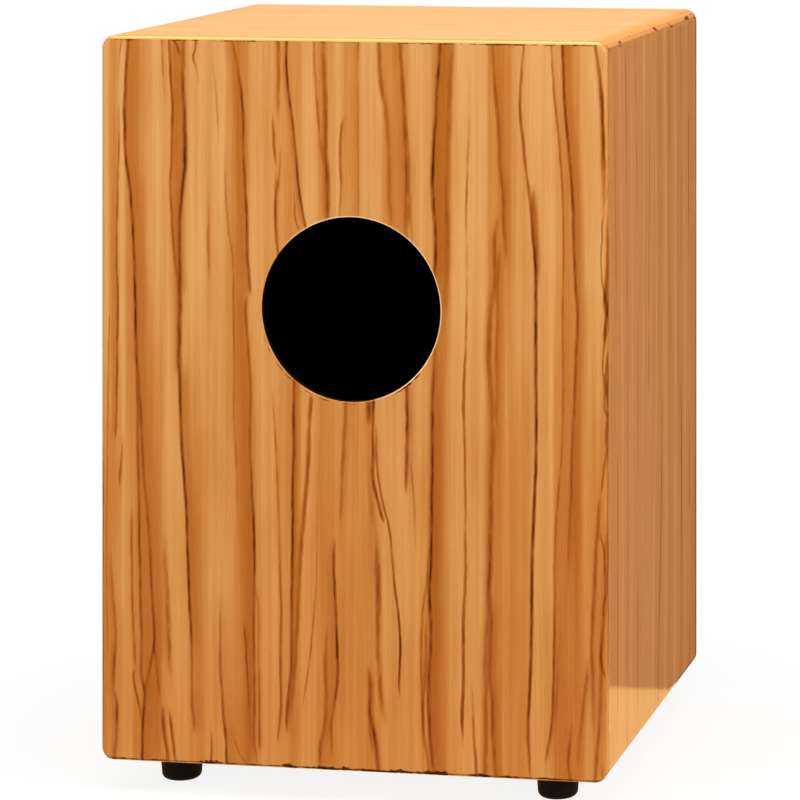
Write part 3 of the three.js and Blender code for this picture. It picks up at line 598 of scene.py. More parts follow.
def edge_chips(g, point, x, z, with_hole):
    """Dark nicks in the varnish just inside the panel's edges and round the lower half of the hole."""
    grit = g.noise(point, (5, 5, 5), detail=4, roughness=0.7)
    broken = g.noise(point, (26, 26, 26), detail=2, shift=(7, 0, 3))
    size = g.times(g.spread(broken, 0.4, 0.6, 0.15, 1.0), g.spread(grit, 0.38, 0.62, 0.1, 1.2))

    def nick(distance, place, width, fewest=0.0):
        """Nicks along a line at a distance from the edge; they grow where the noises are high."""
        off = g.over(g.away(distance, place), width)
        return g.spread(g.minus(g.plus(size, fewest), off), 0.0, 0.35)

    top = g.times(nick(g.minus(HIGH, z), place=2.5, width=0.6, fewest=0.1), 0.8)
    bottom = nick(g.minus(z, LOW), place=1.6, width=1.5, fewest=0.25)
    drift = g.times_plus(g.noise(point, (40, 40, 40), detail=3, shift=(1, 5, 8)), 10.0, -3.0)
    off_side = g.away(g.plus(x, HALF), drift)
    side = g.times(g.spread(off_side, 0.2, 0.9, 0.6, 0), g.spread(broken, 0.4, 0.55))
    edges = g.larger(g.larger(top, bottom), side)
    if with_hole:
        radius, rise = from_hole(g, x, z)
        rim = nick(g.minus(radius, HOLE_RADIUS / MM), place=1.4, width=0.7)
        edges = g.larger(edges, g.times(rim, g.spread(rise, -42, -8, 1, 0)))
    return g.times(edges, 0.95)


def veneer_tone(g, point, z, sideways, fibres):
    """The veneer's ground between its veins, from pale 0 to brown 1."""
    tone = g.mix(
        g.spread(z, *TONE_CHANGE),
        g.curve(sideways, [(place / WIDTH, value) for place, value in LOWER_TONE]),
        g.curve(sideways, [(place / WIDTH, value) for place, value in UPPER_TONE]),
    )
    tone = g.swayed(tone, g.grain(point, (5, 5, 420)), 1.1)
    tone = g.swayed(tone, g.noise(point, (22, 22, 90), detail=2), 0.5)
    return g.swayed(tone, fibres, 0.45, clamp=True)


def veneer_build(g, turned_over):
    """The figured veneer; the tapa's sheet is the next one of the same flitch, turned over."""
    point, x, y, z = g.place()
    across = g.plus(x, HALF) if turned_over else g.minus(HALF, x)
    across = g.swayed(across, g.noise(point, (60, 60, 45), detail=2), 7.0 if turned_over else 1.6)
    fine_across = g.swayed(across, g.noise(point, (9, 9, 7), detail=1), 0.5)
    up = g.over(g.minus(z, LOW), HEIGHT)
    line, shade = veins(g, g.over(fine_across, WIDTH), up)
    fibres = g.grain(point, (0.7, 0.7, 45))
    pores = g.noise(point, (0.45, 0.45, 9), detail=1)
    color = g.ramp(veneer_tone(g, point, z, g.over(across, WIDTH), fibres), VENEER_STOPS)
    color = g.mix(g.times(shade, 0.95), color, AMBER)
    line = g.times(line, g.spread(g.noise(point, (2.5, 2.5, 13), detail=2), 0.3, 0.62, 0.62, 1.08))
    if turned_over:
        line = g.larger(line, loose_veins(g, point, x, z))
    color = g.mix(g.spread(line, 0.0, 0.4), color, g.ramp(line, VEIN_STOPS))
    # painted shade: the veneer turns darker and more orange towards the bottom
    painted_low_shade = g.spread(z, *LOW_SHADE_PAINT, smooth=False)
    color = g.mix(painted_low_shade, color, shown(228, 196, 30), "MULTIPLY")
    color = g.mix(g.spread(z, HIGH - 2.4, HIGH - 1.5), color, shown(236, 172, 92))
    if not turned_over:
        # painted highlight: a pale ring round the hole, brighter on one side
        color = g.mix(painted_rim_highlight(g, x, z), color, shown(255, 214, 156))
    dark_marks = edge_chips(g, point, x, z, not turned_over)
    color = g.mix(dark_marks, color, shown(66, 22, 5))
    if turned_over:
        off_middle = g.math("ABSOLUTE", x)
        color = g.mix(g.spread(off_middle, HALF - 1, HALF - 0.2, 0, 0.7), color, DARKEST)
    relief = g.times_plus(dark_marks, -1.5, g.times_plus(pores, 0.25, fibres))
    return {
        "Base Color": color,
        "Roughness": g.spread(fibres, 0.3, 0.7, 0.2, 0.32),
        "Specular IOR Level": g.spread(dark_marks, 0, 0.5, 0.4, 0.0),
        "Normal": g.bump(relief, 0.2, 0.1),
    }


# ---- Other finishes ---------------------------------------------------------------------------
def seam_crack(g, point, y):
    """A broken, wandering dark line where the varnish has cracked along the joint with the back."""
    broken = g.grain(point, (16, 16, 16))
    drift = g.times(g.noise(point, (24, 24, 24), detail=2, shift=(2, 9, 4)), 5.0)
    off = g.away(g.plus(y, drift), SHELL_BACK / MM + 1.5)
    return g.times(g.spread(off, 0.2, 1.3, 0.7, 0), g.spread(broken, 0.36, 0.54, 0.1, 1.0))


def shell_nicks_and_low_shade(g, point, x, z, spots):
    """Small irregular nicks on the crest of the shell's upper long edges, and painted shade along the lower
    ones, where shadow falls under the rounding.
    """
    grit = g.grain(point, (3, 14, 3), shift=(0, 2, 5))
    groups = g.noise(point, (60, 28, 60), detail=2, shift=(4, 1, 0))
    inward = g.larger(g.minus(HIGH, z), g.minus(HALF, g.math("ABSOLUTE", x)))
    upper = g.times(g.spread(g.away(inward, 4.0), 1.6, 3.0, 1, 0), g.spread(grit, 0.55, 0.59))
    upper = g.times(upper, g.spread(groups, 0.47, 0.53, 0, spots))
    # painted shade along the bottom rounding, where shadow falls under it
    return g.larger(upper, g.spread(g.minus(z, LOW), 1.2, 3.2, 0.85, 0))


def leaning(g, point):
    """The point, moved to and fro along Y so that lines drawn through it lean and bend."""
    wander = g.noise(point, (70, 70, 170), detail=2, shift=(2, 7, 5))
    lean = g.node("ShaderNodeCombineXYZ", {"Y": g.times(wander, 26.0)}).outputs[0]
    return g.node("ShaderNodeVectorMath", {0: point, 1: lean}, operation="ADD").outputs["Vector"]


def side_build(g):
    """Straight-grained, reddish veneer of the two sides; its grain stands nearly upright."""
    point, x, y, z = g.place()
    bent = leaning(g, point)
    bands = g.noise(bent, (60, 26, 1500), detail=2, roughness=0.6, shift=(3, 1, 0))
    hues = g.noise(bent, (60, 40, 900), detail=1, shift=(6, 0, 2))
    rings = g.times(g.noise(bent, (60, 60, 700), detail=1, shift=(0, 4.3, 0)), 1.9)
    rings = g.math("PINGPONG", g.times_plus(y, 1 / 36, rings), 0.5)
    broken = g.noise(point, (30, 30, 90), detail=2, shift=(1, 0, 9))
    fibres = g.grain(point, (1.2, 1.6, 60))
    color = g.ramp(g.spread(g.times_plus(fibres, 0.18, bands), 0.36, 0.82, smooth=False), (
        (0.0, shown(220, 153, 86)), (0.5, shown(210, 141, 77)), (1.0, shown(191, 120, 61)),
    ))
    color = g.mix(g.spread(hues, 0.4, 0.6, 0, 0.6), color, shown(210, 136, 86))
    pale = g.times(g.spread(rings, 0.0, 0.12, 0.75, 0), g.spread(broken, 0.35, 0.6, 1.0, 0.4))
    color = g.mix(pale, color, shown(228, 164, 102))
    dark = g.times(g.spread(rings, 0.45, 0.5, 0, 0.8), g.spread(broken, 0.44, 0.56))
    color = g.mix(dark, color, shown(150, 84, 38))
    # painted shade on the upper rounding below its crest, then painted light on the crest
    color = g.mix(g.spread(z, HIGH - 8, HIGH - 5.5, 0, 0.7), color, shown(176, 106, 54))
    color = g.mix(g.spread(z, HIGH - 5.6, HIGH - 3.6), color, EDGE_LIGHT)
    front = SHELL_FRONT / MM
    color = g.mix(g.spread(y, front, front + 5, 0.7, 0), color, shown(110, 60, 24))
    # nicks, the seam crack and painted shade along the bottom rounding
    dark_marks = g.larger(shell_nicks_and_low_shade(g, point, x, z, 0.95), seam_crack(g, point, y))
    shine = g.spread(z, LOW + 1, LOW + 5, 0.0, 0.45)
    return {
        "Base Color": g.mix(dark_marks, color, shown(112, 52, 12)),
        "Roughness": g.spread(fibres, 0.3, 0.7, 0.07, 0.13),
        "Specular IOR Level": g.times(shine, g.spread(dark_marks, 0, 0.5, 1, 0)),
        "Normal": g.bump(g.minus(fibres, dark_marks), 0.08, 0.05),
    }


def seat_build(g):
    """Pale, nearly plain veneer of the seat; its grain runs from side to side."""
    point, x, y, z = g.place()
    bands = g.grain(point, (420, 9, 40))
    fibres = g.grain(point, (40, 0.8, 0.8))
    specks = g.noise(point, (5, 1.2, 3), detail=2)
    tone = g.times_plus(bands, 1.2, g.times(fibres, 0.4))
    color = g.ramp(g.spread(tone, 0.5, 1.15, smooth=False), (
        (0.0, shown(250, 186, 134)), (0.55, shown(242, 175, 122)), (1.0, shown(224, 151, 98)),
    ))
    color = g.mix(g.spread(specks, 0.66, 0.74, 0, 0.5), color, shown(206, 140, 76))
    # painted light: the seat takes the edge-light colour towards its rounded long edges
    from_side = g.minus(HALF, g.math("ABSOLUTE", x))
    color = g.mix(g.spread(from_side, 2, 16, 1, 0), color, EDGE_LIGHT)
    dark_marks = g.larger(shell_nicks_and_low_shade(g, point, x, z, 0.3), g.times(seam_crack(g, point, y), 0.4))
    return {
        "Base Color": g.mix(dark_marks, color, shown(120, 60, 20)),
        "Roughness": g.spread(fibres, 0.3, 0.7, 0.4, 0.55),
        "Specular IOR Level": 0.02,
        "Normal": g.bump(g.times_plus(specks, -0.6, fibres), 0.15, 0.08),
    }


def bottom_build(g):
    """Plain birch plywood, lightly varnished, with its grain running from side to side."""
    point = g.place()[0]
    arches = g.noise(point, (260, 16, 30), detail=3, roughness=0.55)
    rings = g.math("PINGPONG", g.times(arches, 14.0), 1.0)
    fibres = g.grain(point, (30, 0.8, 0.8))
    flecks = g.noise(point, (6, 0.7, 2), detail=1)
    tone = g.times_plus(rings, 0.35, g.times(fibres, 0.5))
    color = g.ramp(g.spread(tone, 0.2, 0.65, smooth=False), (
        (0.0, shown(228, 190, 138)), (0.6, shown(212, 168, 112)), (1.0, shown(190, 140, 84)),
    ))
    return {
        "Base Color": g.mix(g.spread(flecks, 0.62, 0.7, 0, 0.55), color, shown(150, 98, 52)),
        "Roughness": g.spread(fibres, 0.3, 0.7, 0.42, 0.6),
        "Specular IOR Level": 0.3,
        "Normal": g.bump(g.plus(fibres, rings), 0.2, 0.1),
    }


def black_build(g):
    """Near-black matt colour of the wood inside; the grain still shows faintly in it."""
    fibres = g.grain(g.place()[0], (1.2, 12, 40))
    return {
        "Base Color": g.mix(fibres, shown(5, 5, 5), shown(13, 12, 11)),
        "Roughness": g.spread(fibres, 0.3, 0.7, 0.85, 0.95),
        "Specular IOR Level": 0.05,
        "Normal": g.bump(fibres, 0.3, 0.15),
    }


def rubber_build(g):
    """Moulded black rubber with a fine matt grain and a little grey dust."""
    point = g.place()[0]
    grain = g.grain(point, (0.5, 0.5, 0.5))
    dust = g.noise(point, (7, 7, 4), detail=3)
    scuffs = g.noise(point, (3, 3, 0.6), detail=2, roughness=0.7)
    color = g.mix(g.spread(dust, 0.45, 0.7, 0, 0.6), shown(14, 14, 14), shown(26, 25, 24))
    return {
        "Base Color": g.mix(g.spread(scuffs, 0.62, 0.75, 0, 0.4), color, shown(70, 68, 64)),
        "Roughness": g.spread(grain, 0.3, 0.7, 0.6, 0.8),
        "Specular IOR Level": 0.12,
        "Normal": g.bump(grain, 0.35, 0.08),
    }


def metal_build(g, pale, dark, rough, brushed):
    """A plain metal with fine tool marks; brushed is the size of a mark in millimetres."""
    point = g.place()[0]
    marks = g.grain(point, brushed)
    stains = g.noise(point, (5, 5, 5), detail=3)
    tone = g.times_plus(marks, 0.5, g.times(stains, 0.6))
    return {
        "Base Color": g.mix(g.spread(tone, 0.35, 0.75), pale, dark),
        "Metallic": 1.0,
        "Roughness": g.spread(tone, 0.35, 0.75, rough, rough + 0.2),
        "Normal": g.bump(marks, 0.15, 0.03),
    }


def black_screw_build(g):
    """Blackened steel whose coating is rubbed through in small bright spots."""
    rubbed = g.noise(g.place()[0], (1.1, 1.1, 1.1), detail=4, roughness=0.7)
    bare = g.spread(rubbed, 0.6, 0.72)
    return {
        "Base Color": g.mix(bare, shown(34, 33, 32), shown(120, 112, 100)),
        "Metallic": g.spread(bare, 0, 1, 0.6, 1.0),
        "Roughness": g.spread(rubbed, 0.3, 0.7, 0.35, 0.55),
        "Normal": g.bump(rubbed, 0.2, 0.05),
    }


def string_build(g):
    """Steel string wound with fine wire, half a millimetre to a turn."""
    point, x, y, z = g.place()
    turns = g.math("PINGPONG", g.times_plus(x, 0.6, z), 0.25)
    tarnish = g.noise(point, (4, 4, 14), detail=3)
    return {
        "Base Color": g.mix(g.spread(tarnish, 0.4, 0.65), shown(96, 92, 86), shown(58, 50, 42)),
        "Metallic": 1.0,
        "Roughness": g.spread(tarnish, 0.3, 0.7, 0.4, 0.6),
        "Normal": g.bump(g.times(turns, 4.0), 0.6, 0.12),
    }


FIGURED = finish_material("figured_veneer", veneer_build, turned_over=False)
TURNED_SHEET = finish_material("figured_veneer_turned", veneer_build, turned_over=True)
SIDE = finish_material("side_veneer", side_build)
SEAT = finish_material("seat_veneer", seat_build)
BOTTOM = finish_material("birch_plywood", bottom_build)
BLACK = finish_material("near_black_inside", black_build)
RUBBER = finish_material("rubber", rubber_build)
STEEL = finish_material("bright_steel", metal_build, pale=shown(205, 204, 200),
                        dark=shown(150, 148, 144), rough=0.22, brushed=(0.3, 0.3, 3))
BRASS = finish_material("brass", metal_build, pale=shown(214, 176, 96),
                        dark=shown(150, 112, 50), rough=0.25, brushed=(3, 0.3, 0.3))
BLACK_STEEL = finish_material("black_steel", black_screw_build)
STRING = finish_material("wound_string", string_build)


# ---- Box --------------------------------------------------------------------------------------
def plate(name, node, profile, holes, sheet):
    """A plate over the whole outline. profile is a list of (inset, y) from the inner face out, and
    each hole is (centre, steps, [(y, radius), ...]) from the inner face out."""
    bm = bmesh.new()
    rings = [upright_ring(bm, outline(inset), y) for inset, y in profile]
    skin_all(bm, rings)
    inner, outer = [rings[0]], [rings[-1]]
    for centre, steps, sections in holes:
        walls = [upright_ring(bm, circle(centre, radius, steps), y) for y, radius in sections]
        skin(bm, walls[0], walls[1], 1)
        skin_all(bm, walls[1:])
        inner.append(walls[0])
        outer.append(walls[-1])
    cap(bm, inner, 1)
    cap(bm, outer)
    add_piece(name, node, finished_mesh(name, bm, [sheet, BLACK]))


def back_panel():
    inner, outer = BACK_LOW.y, BACK_HIGH.y
    profile = [(SEAM, inner), (0.0, inner + SEAM)]
    profile += edge_round(BACK_EDGE_ROUND, 8, start=outer - BACK_EDGE_ROUND, turn=1)
    rim = [(inner, HOLE_RADIUS), (outer - HOLE_RIM, HOLE_RADIUS)]
    for inset, y in edge_round(HOLE_RIM, 5, start=outer - HOLE_RIM, turn=1)[1:]:
        rim.append((y, HOLE_RADIUS + inset))
    plate("back_panel_veneered", "back_panel", profile, [(HOLE_CENTRE, 128, rim)], FIGURED)


SCREW_HOLE, SCREW_HOLE_DEPTH = 1.9 * MM, 0.6 * MM  # straight part of the tapa's screw holes
SCREW_PLAY = 0.15 * MM  # between a countersunk head and the mouth of its hole


def tapa():
    inner, outer = TAPA_HIGH.y, TAPA_LOW.y
    profile = [(SEAM, inner), (0.0, inner - SEAM)]
    profile += edge_round(TAPA_EDGE_ROUND, 5, start=outer + TAPA_EDGE_ROUND, turn=-1)
    holes = []
    for name in TAPA_SCREWS:
        low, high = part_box(name)
        mouth = (high.x - low.x) / 2 + SCREW_PLAY
        sections = [(inner, SCREW_HOLE), (inner - SCREW_HOLE_DEPTH, SCREW_HOLE), (outer, mouth)]
        holes.append((((low.x + high.x) / 2, (low.z + high.z) / 2), 32, sections))
    plate("tapa_veneered", "tapa", profile, holes, TURNED_SHEET)


COUNTERBORE_RADIUS, COUNTERBORE_DEPTH, BORE_RADIUS = 6.5 * MM, 8 * MM, 3.35 * MM


def adjuster_bores(bm):
    """Opens the bottom panel for the heads and shanks of the two adjuster screws."""
    inside = BODY_BOTTOM + PANEL
    shoulder = BODY_BOTTOM + COUNTERBORE_DEPTH
    bores = []
    for side in ("left", "right"):
        low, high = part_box(f"adjuster_screw_{side}")
        walls = [
            level_ring(bm, (low + high) / 2, radius, 48, z)
            for z, radius in (
                (BODY_BOTTOM, COUNTERBORE_RADIUS),
                (shoulder, COUNTERBORE_RADIUS),
                (shoulder, BORE_RADIUS),
                (inside, BORE_RADIUS),
            )
        ]
        skin_all(bm, walls)
        bores.append(walls)
    for z, level in ((BODY_BOTTOM, 0), (inside, -1)):
        flat = [face for face in bm.faces if all(abs(vert.co.z - z) < HAIR for vert in face.verts)]
        broad = max(flat, key=lambda face: face.calc_area())
        loop = list(broad.verts)
        bm.faces.remove(broad)
        cap(bm, [loop] + [walls[level] for walls in bores])


def inner_corner(index):
    """The point (x, z) where two panels meet inside the shell."""
    sign_x, sign_z = CORNER_SIGNS[index % 4]
    z = BODY_TOP - PANEL if sign_z > 0 else BODY_BOTTOM + PANEL
    return sign_x * (HALF_WIDTH - PANEL), z


def shell_panel(index, name, node, material):
    """One panel of the shell, mitred in the middle of its two rounded corners."""
    following = index + 1
    half = CORNER_STEPS // 2
    bm = bmesh.new()
    rings = []
    for y, inset in (
        (SHELL_FRONT, SEAM),
        (SHELL_FRONT + SEAM, 0.0),
        (SHELL_BACK - SEAM, 0.0),
        (SHELL_BACK, SEAM),
    ):
        points = corner_arc(index, index * 90 + 45, index * 90 + 90, half, inset)
        points += corner_arc(following, following * 90, following * 90 + 45, half, inset)
        points += [inner_corner(following), inner_corner(index)]
        rings.append(upright_ring(bm, points, y))
    skin_all(bm, rings, ends=True)
    if node == "bottom_panel":
        adjuster_bores(bm)
    for face in bm.faces:
        middle = face.calc_center_median()
        within = abs(middle.x) < HALF_WIDTH - PANEL + HAIR
        if within and BODY_BOTTOM + PANEL - HAIR < middle.z < BODY_TOP - PANEL + HAIR:
            face.material_index = 1
    add_piece(name, node, finished_mesh(name, bm, [material, BLACK]))


# ---- Fittings, drawn in millimetres round the local Z axis ------------------------------------
def size_of(node):
    low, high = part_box(node)
    return (high - low) / MM


SOCKET_TAPER = 0.8  # width of a socket's floor as a part of its mouth's


def turned(bm, profile, steps, socket=None, socket_depth=0.0):
    """A turned form from (radius, z) pairs, closed at both ends. A socket is an outline (x, y)
    sunk into the last end."""
    rings = [level_ring(bm, (0, 0), radius * MM, steps, z * MM) for radius, z in profile]
    skin_all(bm, rings, ends=not socket)
    if socket:
        bm.faces.new(rings[0])
        top = profile[-1][1]
        floor_z = top - math.copysign(socket_depth, top - profile[0][1])
        mouth = [bm.verts.new((x * MM, y * MM, top * MM)) for x, y in socket]
        narrow = SOCKET_TAPER * MM
        sunk = [bm.verts.new((x * narrow, y * narrow, floor_z * MM)) for x, y in socket]
        cap(bm, [rings[-1], mouth])
        skin(bm, mouth, sunk)
        cap(bm, [sunk])


def cross_outline(reach, half_width):
    """A cross for a cross-head driver."""
    quarter_points = ((reach, -half_width), (reach, half_width), (half_width, half_width))
    points = []
    for k in range(4):
        turn = Matrix.Rotation(math.pi / 2 * k, 2)
        points += [turn @ Vector(point) for point in quarter_points]
    return points


def thread(bm, radius, depth, pitch, low, high, steps=12, slices=6):
    """A screw thread with so many slices to a turn, closed at both ends."""
    count = round((high - low) / pitch * slices)
    rings = []
    for k in range(count + 1):
        z = low + (high - low) * k / count
        verts = []
        for i in range(steps):
            ridge = 1 - abs(2 * ((i / steps + z / pitch) % 1.0) - 1)
            reach = (radius - depth * (1 - ridge)) * MM
            angle = 2 * math.pi * i / steps
            verts.append(bm.verts.new((reach * math.cos(angle), reach * math.sin(angle), z * MM)))
        rings.append(verts)
    skin_all(bm, rings, ends=True)


def stand_piece(name, node, bm, material, body="cabinet"):
    """Stands a form that was drawn from z = 0 up where its CAD node stands."""
    low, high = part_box(node)
    bmesh.ops.translate(bm, verts=bm.verts, vec=((low.x + high.x) / 2, (low.y + high.y) / 2, low.z))
    add_piece(name, node, finished_mesh(name, bm, [material]), body)


def tapa_screws():
    """Countersunk cross-head screws; each was driven to a different angle."""
    rng = random.Random(16)
    size = size_of("tapa_screw_top_1")
    head, length, shank = size.x / 2, size.y, 1.6
    neck = shank - head  # height at which the cone of the head meets the shank; the top is at 0
    bm = bmesh.new()
    thread(bm, radius=1.75, depth=0.35, pitch=1.4, low=1.5 - length, high=neck - 0.2)
    turned(bm, ((0.2, -length), (1.3, 2.2 - length), (1.4, neck - 0.4)), steps=16)
    cone = ((1.5, neck - 0.4), (shank, neck), (head - 0.1, -0.25), (head, -0.12), (head - 0.15, 0))
    turned(bm, cone, 32, cross_outline(reach=2.0, half_width=0.5), socket_depth=1.4)
    mesh = finished_mesh("tapa_screw", bm, [BLACK_STEEL], smooth=False)
    for name in TAPA_SCREWS:
        low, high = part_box(name)
        turn = Matrix.Rotation(math.pi / 2, 4, "X") @ Matrix.Rotation(rng.uniform(0, math.pi / 2), 4, "Z")
        place = Matrix.Translation(((low.x + high.x) / 2, low.y, (low.z + high.z) / 2)) @ turn
        add_piece(name + "_black", name, mesh, place=place)


def foot(name):
    """A rubber foot: a shallow cone with a rounded tread edge, two mould rings and a screw recess."""
    size = size_of(name)
    top, tall = size.x / 2, size.z
    taper, tread_round = 1, 4
    recess, recess_depth, bore = 6, 9, 2.6
    profile = [(top - 0.5, tall), (top, tall - 0.5)]
    for depth in (4.5, 6.0):
        radius = top - taper * depth / tall
        z = tall - depth
        profile += [(radius, z + 0.25), (radius - 0.25, z), (radius, z - 0.25)]
    for inset, z in edge_round(tread_round, 8, start=tread_round, turn=-1):
        profile.append((top - taper - inset, z))
    profile += [(recess + 0.6, 0), (recess, 0.6), (recess, recess_depth), (bore, recess_depth), (bore, tall)]
    bm = bmesh.new()
    rings = [level_ring(bm, (0, 0), radius * MM, 64, z * MM) for radius, z in profile]
    skin_all(bm, rings + rings[:1])
    stand_piece(name + "_rubber", name, bm, RUBBER)


def foot_screw(name):
    """A pan-head wood screw, seen from below in the foot's recess."""
    size = size_of(name)
    head, tall, head_height = size.x / 2, size.z, 2.6
    bm = bmesh.new()
    thread(bm, radius=2.0, depth=0.4, pitch=1.6, low=3.0, high=tall - 2.5)
    turned(bm, ((1.55, head_height), (1.5, tall - 2.5), (0.2, tall)), steps=16)
    crown = ((head, head_height), (head, 1.2), (head * 0.93, 0.55), (head * 0.72, 0.12), (head * 0.62, 0))
    turned(bm, crown, 32, cross_outline(reach=2.1, half_width=0.55), socket_depth=1.6)
    stand_piece(name + "_steel", name, bm, STEEL)


def adjuster_screw(side):
    """M6 cap screw with a hexagon socket and a cut thread; it turns with its joint."""
    name = f"adjuster_screw_{side}"
    size = size_of(name)
    head, tall, head_height = size.x / 2, size.z, 6
    bm = bmesh.new()
    thread(bm, 3.0, depth=0.5, pitch=1.0, low=head_height, high=tall - 0.8, steps=24, slices=8)
    turned(bm, ((2.4, tall - 0.9), (2.2, tall)), steps=24)
    cap_head = ((head - 0.2, head_height), (head, head_height - 0.2), (head, 0.6), (head - 0.6, 0))
    turned(bm, cap_head, 48, circle((0, 0), radius=2.6, steps=6), socket_depth=3.0)
    stand_piece(name + "_threaded", name, bm, BLACK_STEEL, f"adjuster_{side}")


# ---- Snare strings ----------------------------------------------------------------------------
STRING_RADIUS = 0.45 * MM
STRING_PLANE = SHELL_FRONT + 0.35 * MM + STRING_RADIUS
RAIL_LOW, RAIL_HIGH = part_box("string_rail")
RAIL_HEIGHT = RAIL_HIGH.z - 15 * MM
RAIL_PLACES = {"inner": 88 * MM, "outer": 104 * MM}  # from the middle of the box
POCKET_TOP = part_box("adjuster_block_left")[0].z + 48 * MM
STRING_SPREAD = 7.5 * MM  # from the middle of a carriage
STRING_BIT = 6 * MM  # a string is drawn in bits of about this length, so that it can stretch
PAST = 1.5 * MM  # how far a string runs straight on above and below its carriage


def tube(bm, points, radius, steps):
    """A round tube along a line of points, closed at both ends."""
    rings = []
    for k, point in enumerate(points):
        before, after = points[max(k - 1, 0)], points[min(k + 1, len(points) - 1)]
        along = (after - before).normalized()
        across = along.cross(Vector((1, 0, 0))).normalized()
        other = along.cross(across)
        section = circle((0, 0), radius, steps)
        rings.append([bm.verts.new(point + across * x + other * y) for x, y in section])
    skin_all(bm, rings, ends=True)


def ball(bm, centre, radius, length, along):
    """The barrel-shaped end of a string, with rounded rims; sizes are millimetres."""
    rim, half = 0.4, length / 2
    first = len(bm.verts)
    profile = ((radius - rim, -half), (radius, rim - half), (radius, half - rim), (radius - rim, half))
    turned(bm, profile, steps=24)
    bm.verts.ensure_lookup_table()
    turn = Vector((0, 0, 1)).rotation_difference(along).to_matrix()
    for vert in bm.verts[first:]:
        vert.co = centre + turn @ vert.co


def snare_string(side, where):
    """A wound string from its ball end at the rail, down behind the tapa, to its carriage."""
    node, name = f"snare_string_{side}_{where}", f"snare_string_{side}_{where}_wound"
    sign = 1 if side == "left" else -1
    rail_x = sign * RAIL_PLACES[where]
    low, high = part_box(f"string_carriage_{side}")
    x = (low.x + high.x) / 2 + (-sign if where == "inner" else sign) * STRING_SPREAD
    y = low.y + 2.4 * MM
    path = [
        Vector((rail_x, RAIL_HIGH.y + 1.6 * MM, RAIL_HEIGHT)),
        Vector((rail_x, STRING_PLANE + 1.2 * MM, RAIL_HEIGHT)),
        Vector((rail_x, STRING_PLANE + 0.3 * MM, RAIL_HEIGHT - 0.4 * MM)),
        Vector((rail_x, STRING_PLANE, RAIL_HEIGHT - 1.2 * MM)),
        Vector((x, STRING_PLANE, POCKET_TOP - 1 * MM)),
        Vector((x, y, high.z + PAST)),
        Vector((x, y, low.z - PAST)),
    ]
    points = []
    for first, second in zip(path, path[1:]):
        pieces = max(1, round((second - first).length / STRING_BIT))
        points += [first.lerp(second, k / pieces) for k in range(pieces)]
    points.append(path[-1])
    bm = bmesh.new()
    tube(bm, points, STRING_RADIUS, steps=12)
    ball(bm, path[0], radius=1.8, length=3, along=Vector((0, 1, 0)))
    ball(bm, path[-1], radius=1.5, length=3, along=Vector((0, 0, 1)))
    obj = add_piece(name, node, finished_mesh(name, bm, [STRING]), body=None)
    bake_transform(obj)


CAD_FINISHES = (
    ("adjuster_block", BLACK, "plain_wood"),
    ("corner_block", BLACK, "plain_wood"),
    ("string_rail", BLACK, "plain_wood"),
    ("string_carriage", BRASS, "brass"),
    ("adjuster_washer", STEEL, "bright_steel"),
    ("foot_washer", STEEL, "bright_steel"),
)


def finish_cad_nodes():
    """The small plain fittings are shown as the CAD has them, in finishes of their own."""
    for name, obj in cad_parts.items():
        for start, material, slot in CAD_FINISHES:
            if name.startswith(start):
                obj.data.materials.clear()
                obj.data.materials.append(material)


back_panel()
tapa()
for index, (name, node, slot, material) in enumerate((
    ("seat_veneered", "seat_panel", "seat_veneer", SEAT),
    ("right_side_veneered", "right_side_panel", "side_veneer", SIDE),
    ("bottom_plywood", "bottom_panel", "plain_wood", BOTTOM),
    ("left_side_veneered", "left_side_panel", "side_veneer", SIDE),
)):
    shell_panel(index, name, node, material)
tapa_screws()
for end in ("front", "back"):
    for side in ("left", "right"):
        foot(f"foot_{end}_{side}")
        foot_screw(f"foot_screw_{end}_{side}")
for side in ("left", "right"):
    adjuster_screw(side)
    for where in ("inner", "outer"):
        snare_string(side, where)
finish_cad_nodes()


# ---- Stage ------------------------------------------------------------------------------------
WHITE = (1, 1, 1, 1)
PAPER = (0.93, 0.93, 0.93, 1)
GLOW = (0.4, 0.22, 0.09, 1)  # what the polished sides mirror low down in front of the box
DIM = (0.12, 0.085, 0.03, 1)  # what they mirror elsewhere
FLOOR_GLOW = (1.05, 0.66, 0.25, 1)  # what they mirror from the floor near the box
DUSK = (0.10, 0.045, 0.018, 1)  # and from the floor beyond
FLOOR_GLOW_END = -153  # millimetres in front of the box's middle, on the tapa's side
OVERHEAD = (11.0, 10.5, 5.0, 1)  # mirrored in the rounding of the top edge as a bright line
FLOOR_GLOW_FADE = (150, 400)  # behind the box it dies away over this stretch
PAPER_FADE = (230, 420, 0.88, 1.0)  # from 0.88 plain white within 230 mm to wholly white at 420
AMBIENT = 0.52
FLOOR_SIZE = 20


def stage_tree(owner, output_kind):
    """An empty node tree of a material or world, with its output node."""
    owner.use_nodes = True
    owner.node_tree.nodes.clear()
    g = Graph(owner.node_tree)
    return g, g.node(output_kind)


def choose(g, factor, first, second):
    return g.node("ShaderNodeMixShader", {0: factor, 1: first, 2: second}).outputs[0]


def lit(g, kind, color, strength=1.0):
    """Plain light of one colour, as a floor's emission or a world's background."""
    return g.node(kind, {"Color": color, "Strength": strength}).outputs[0]


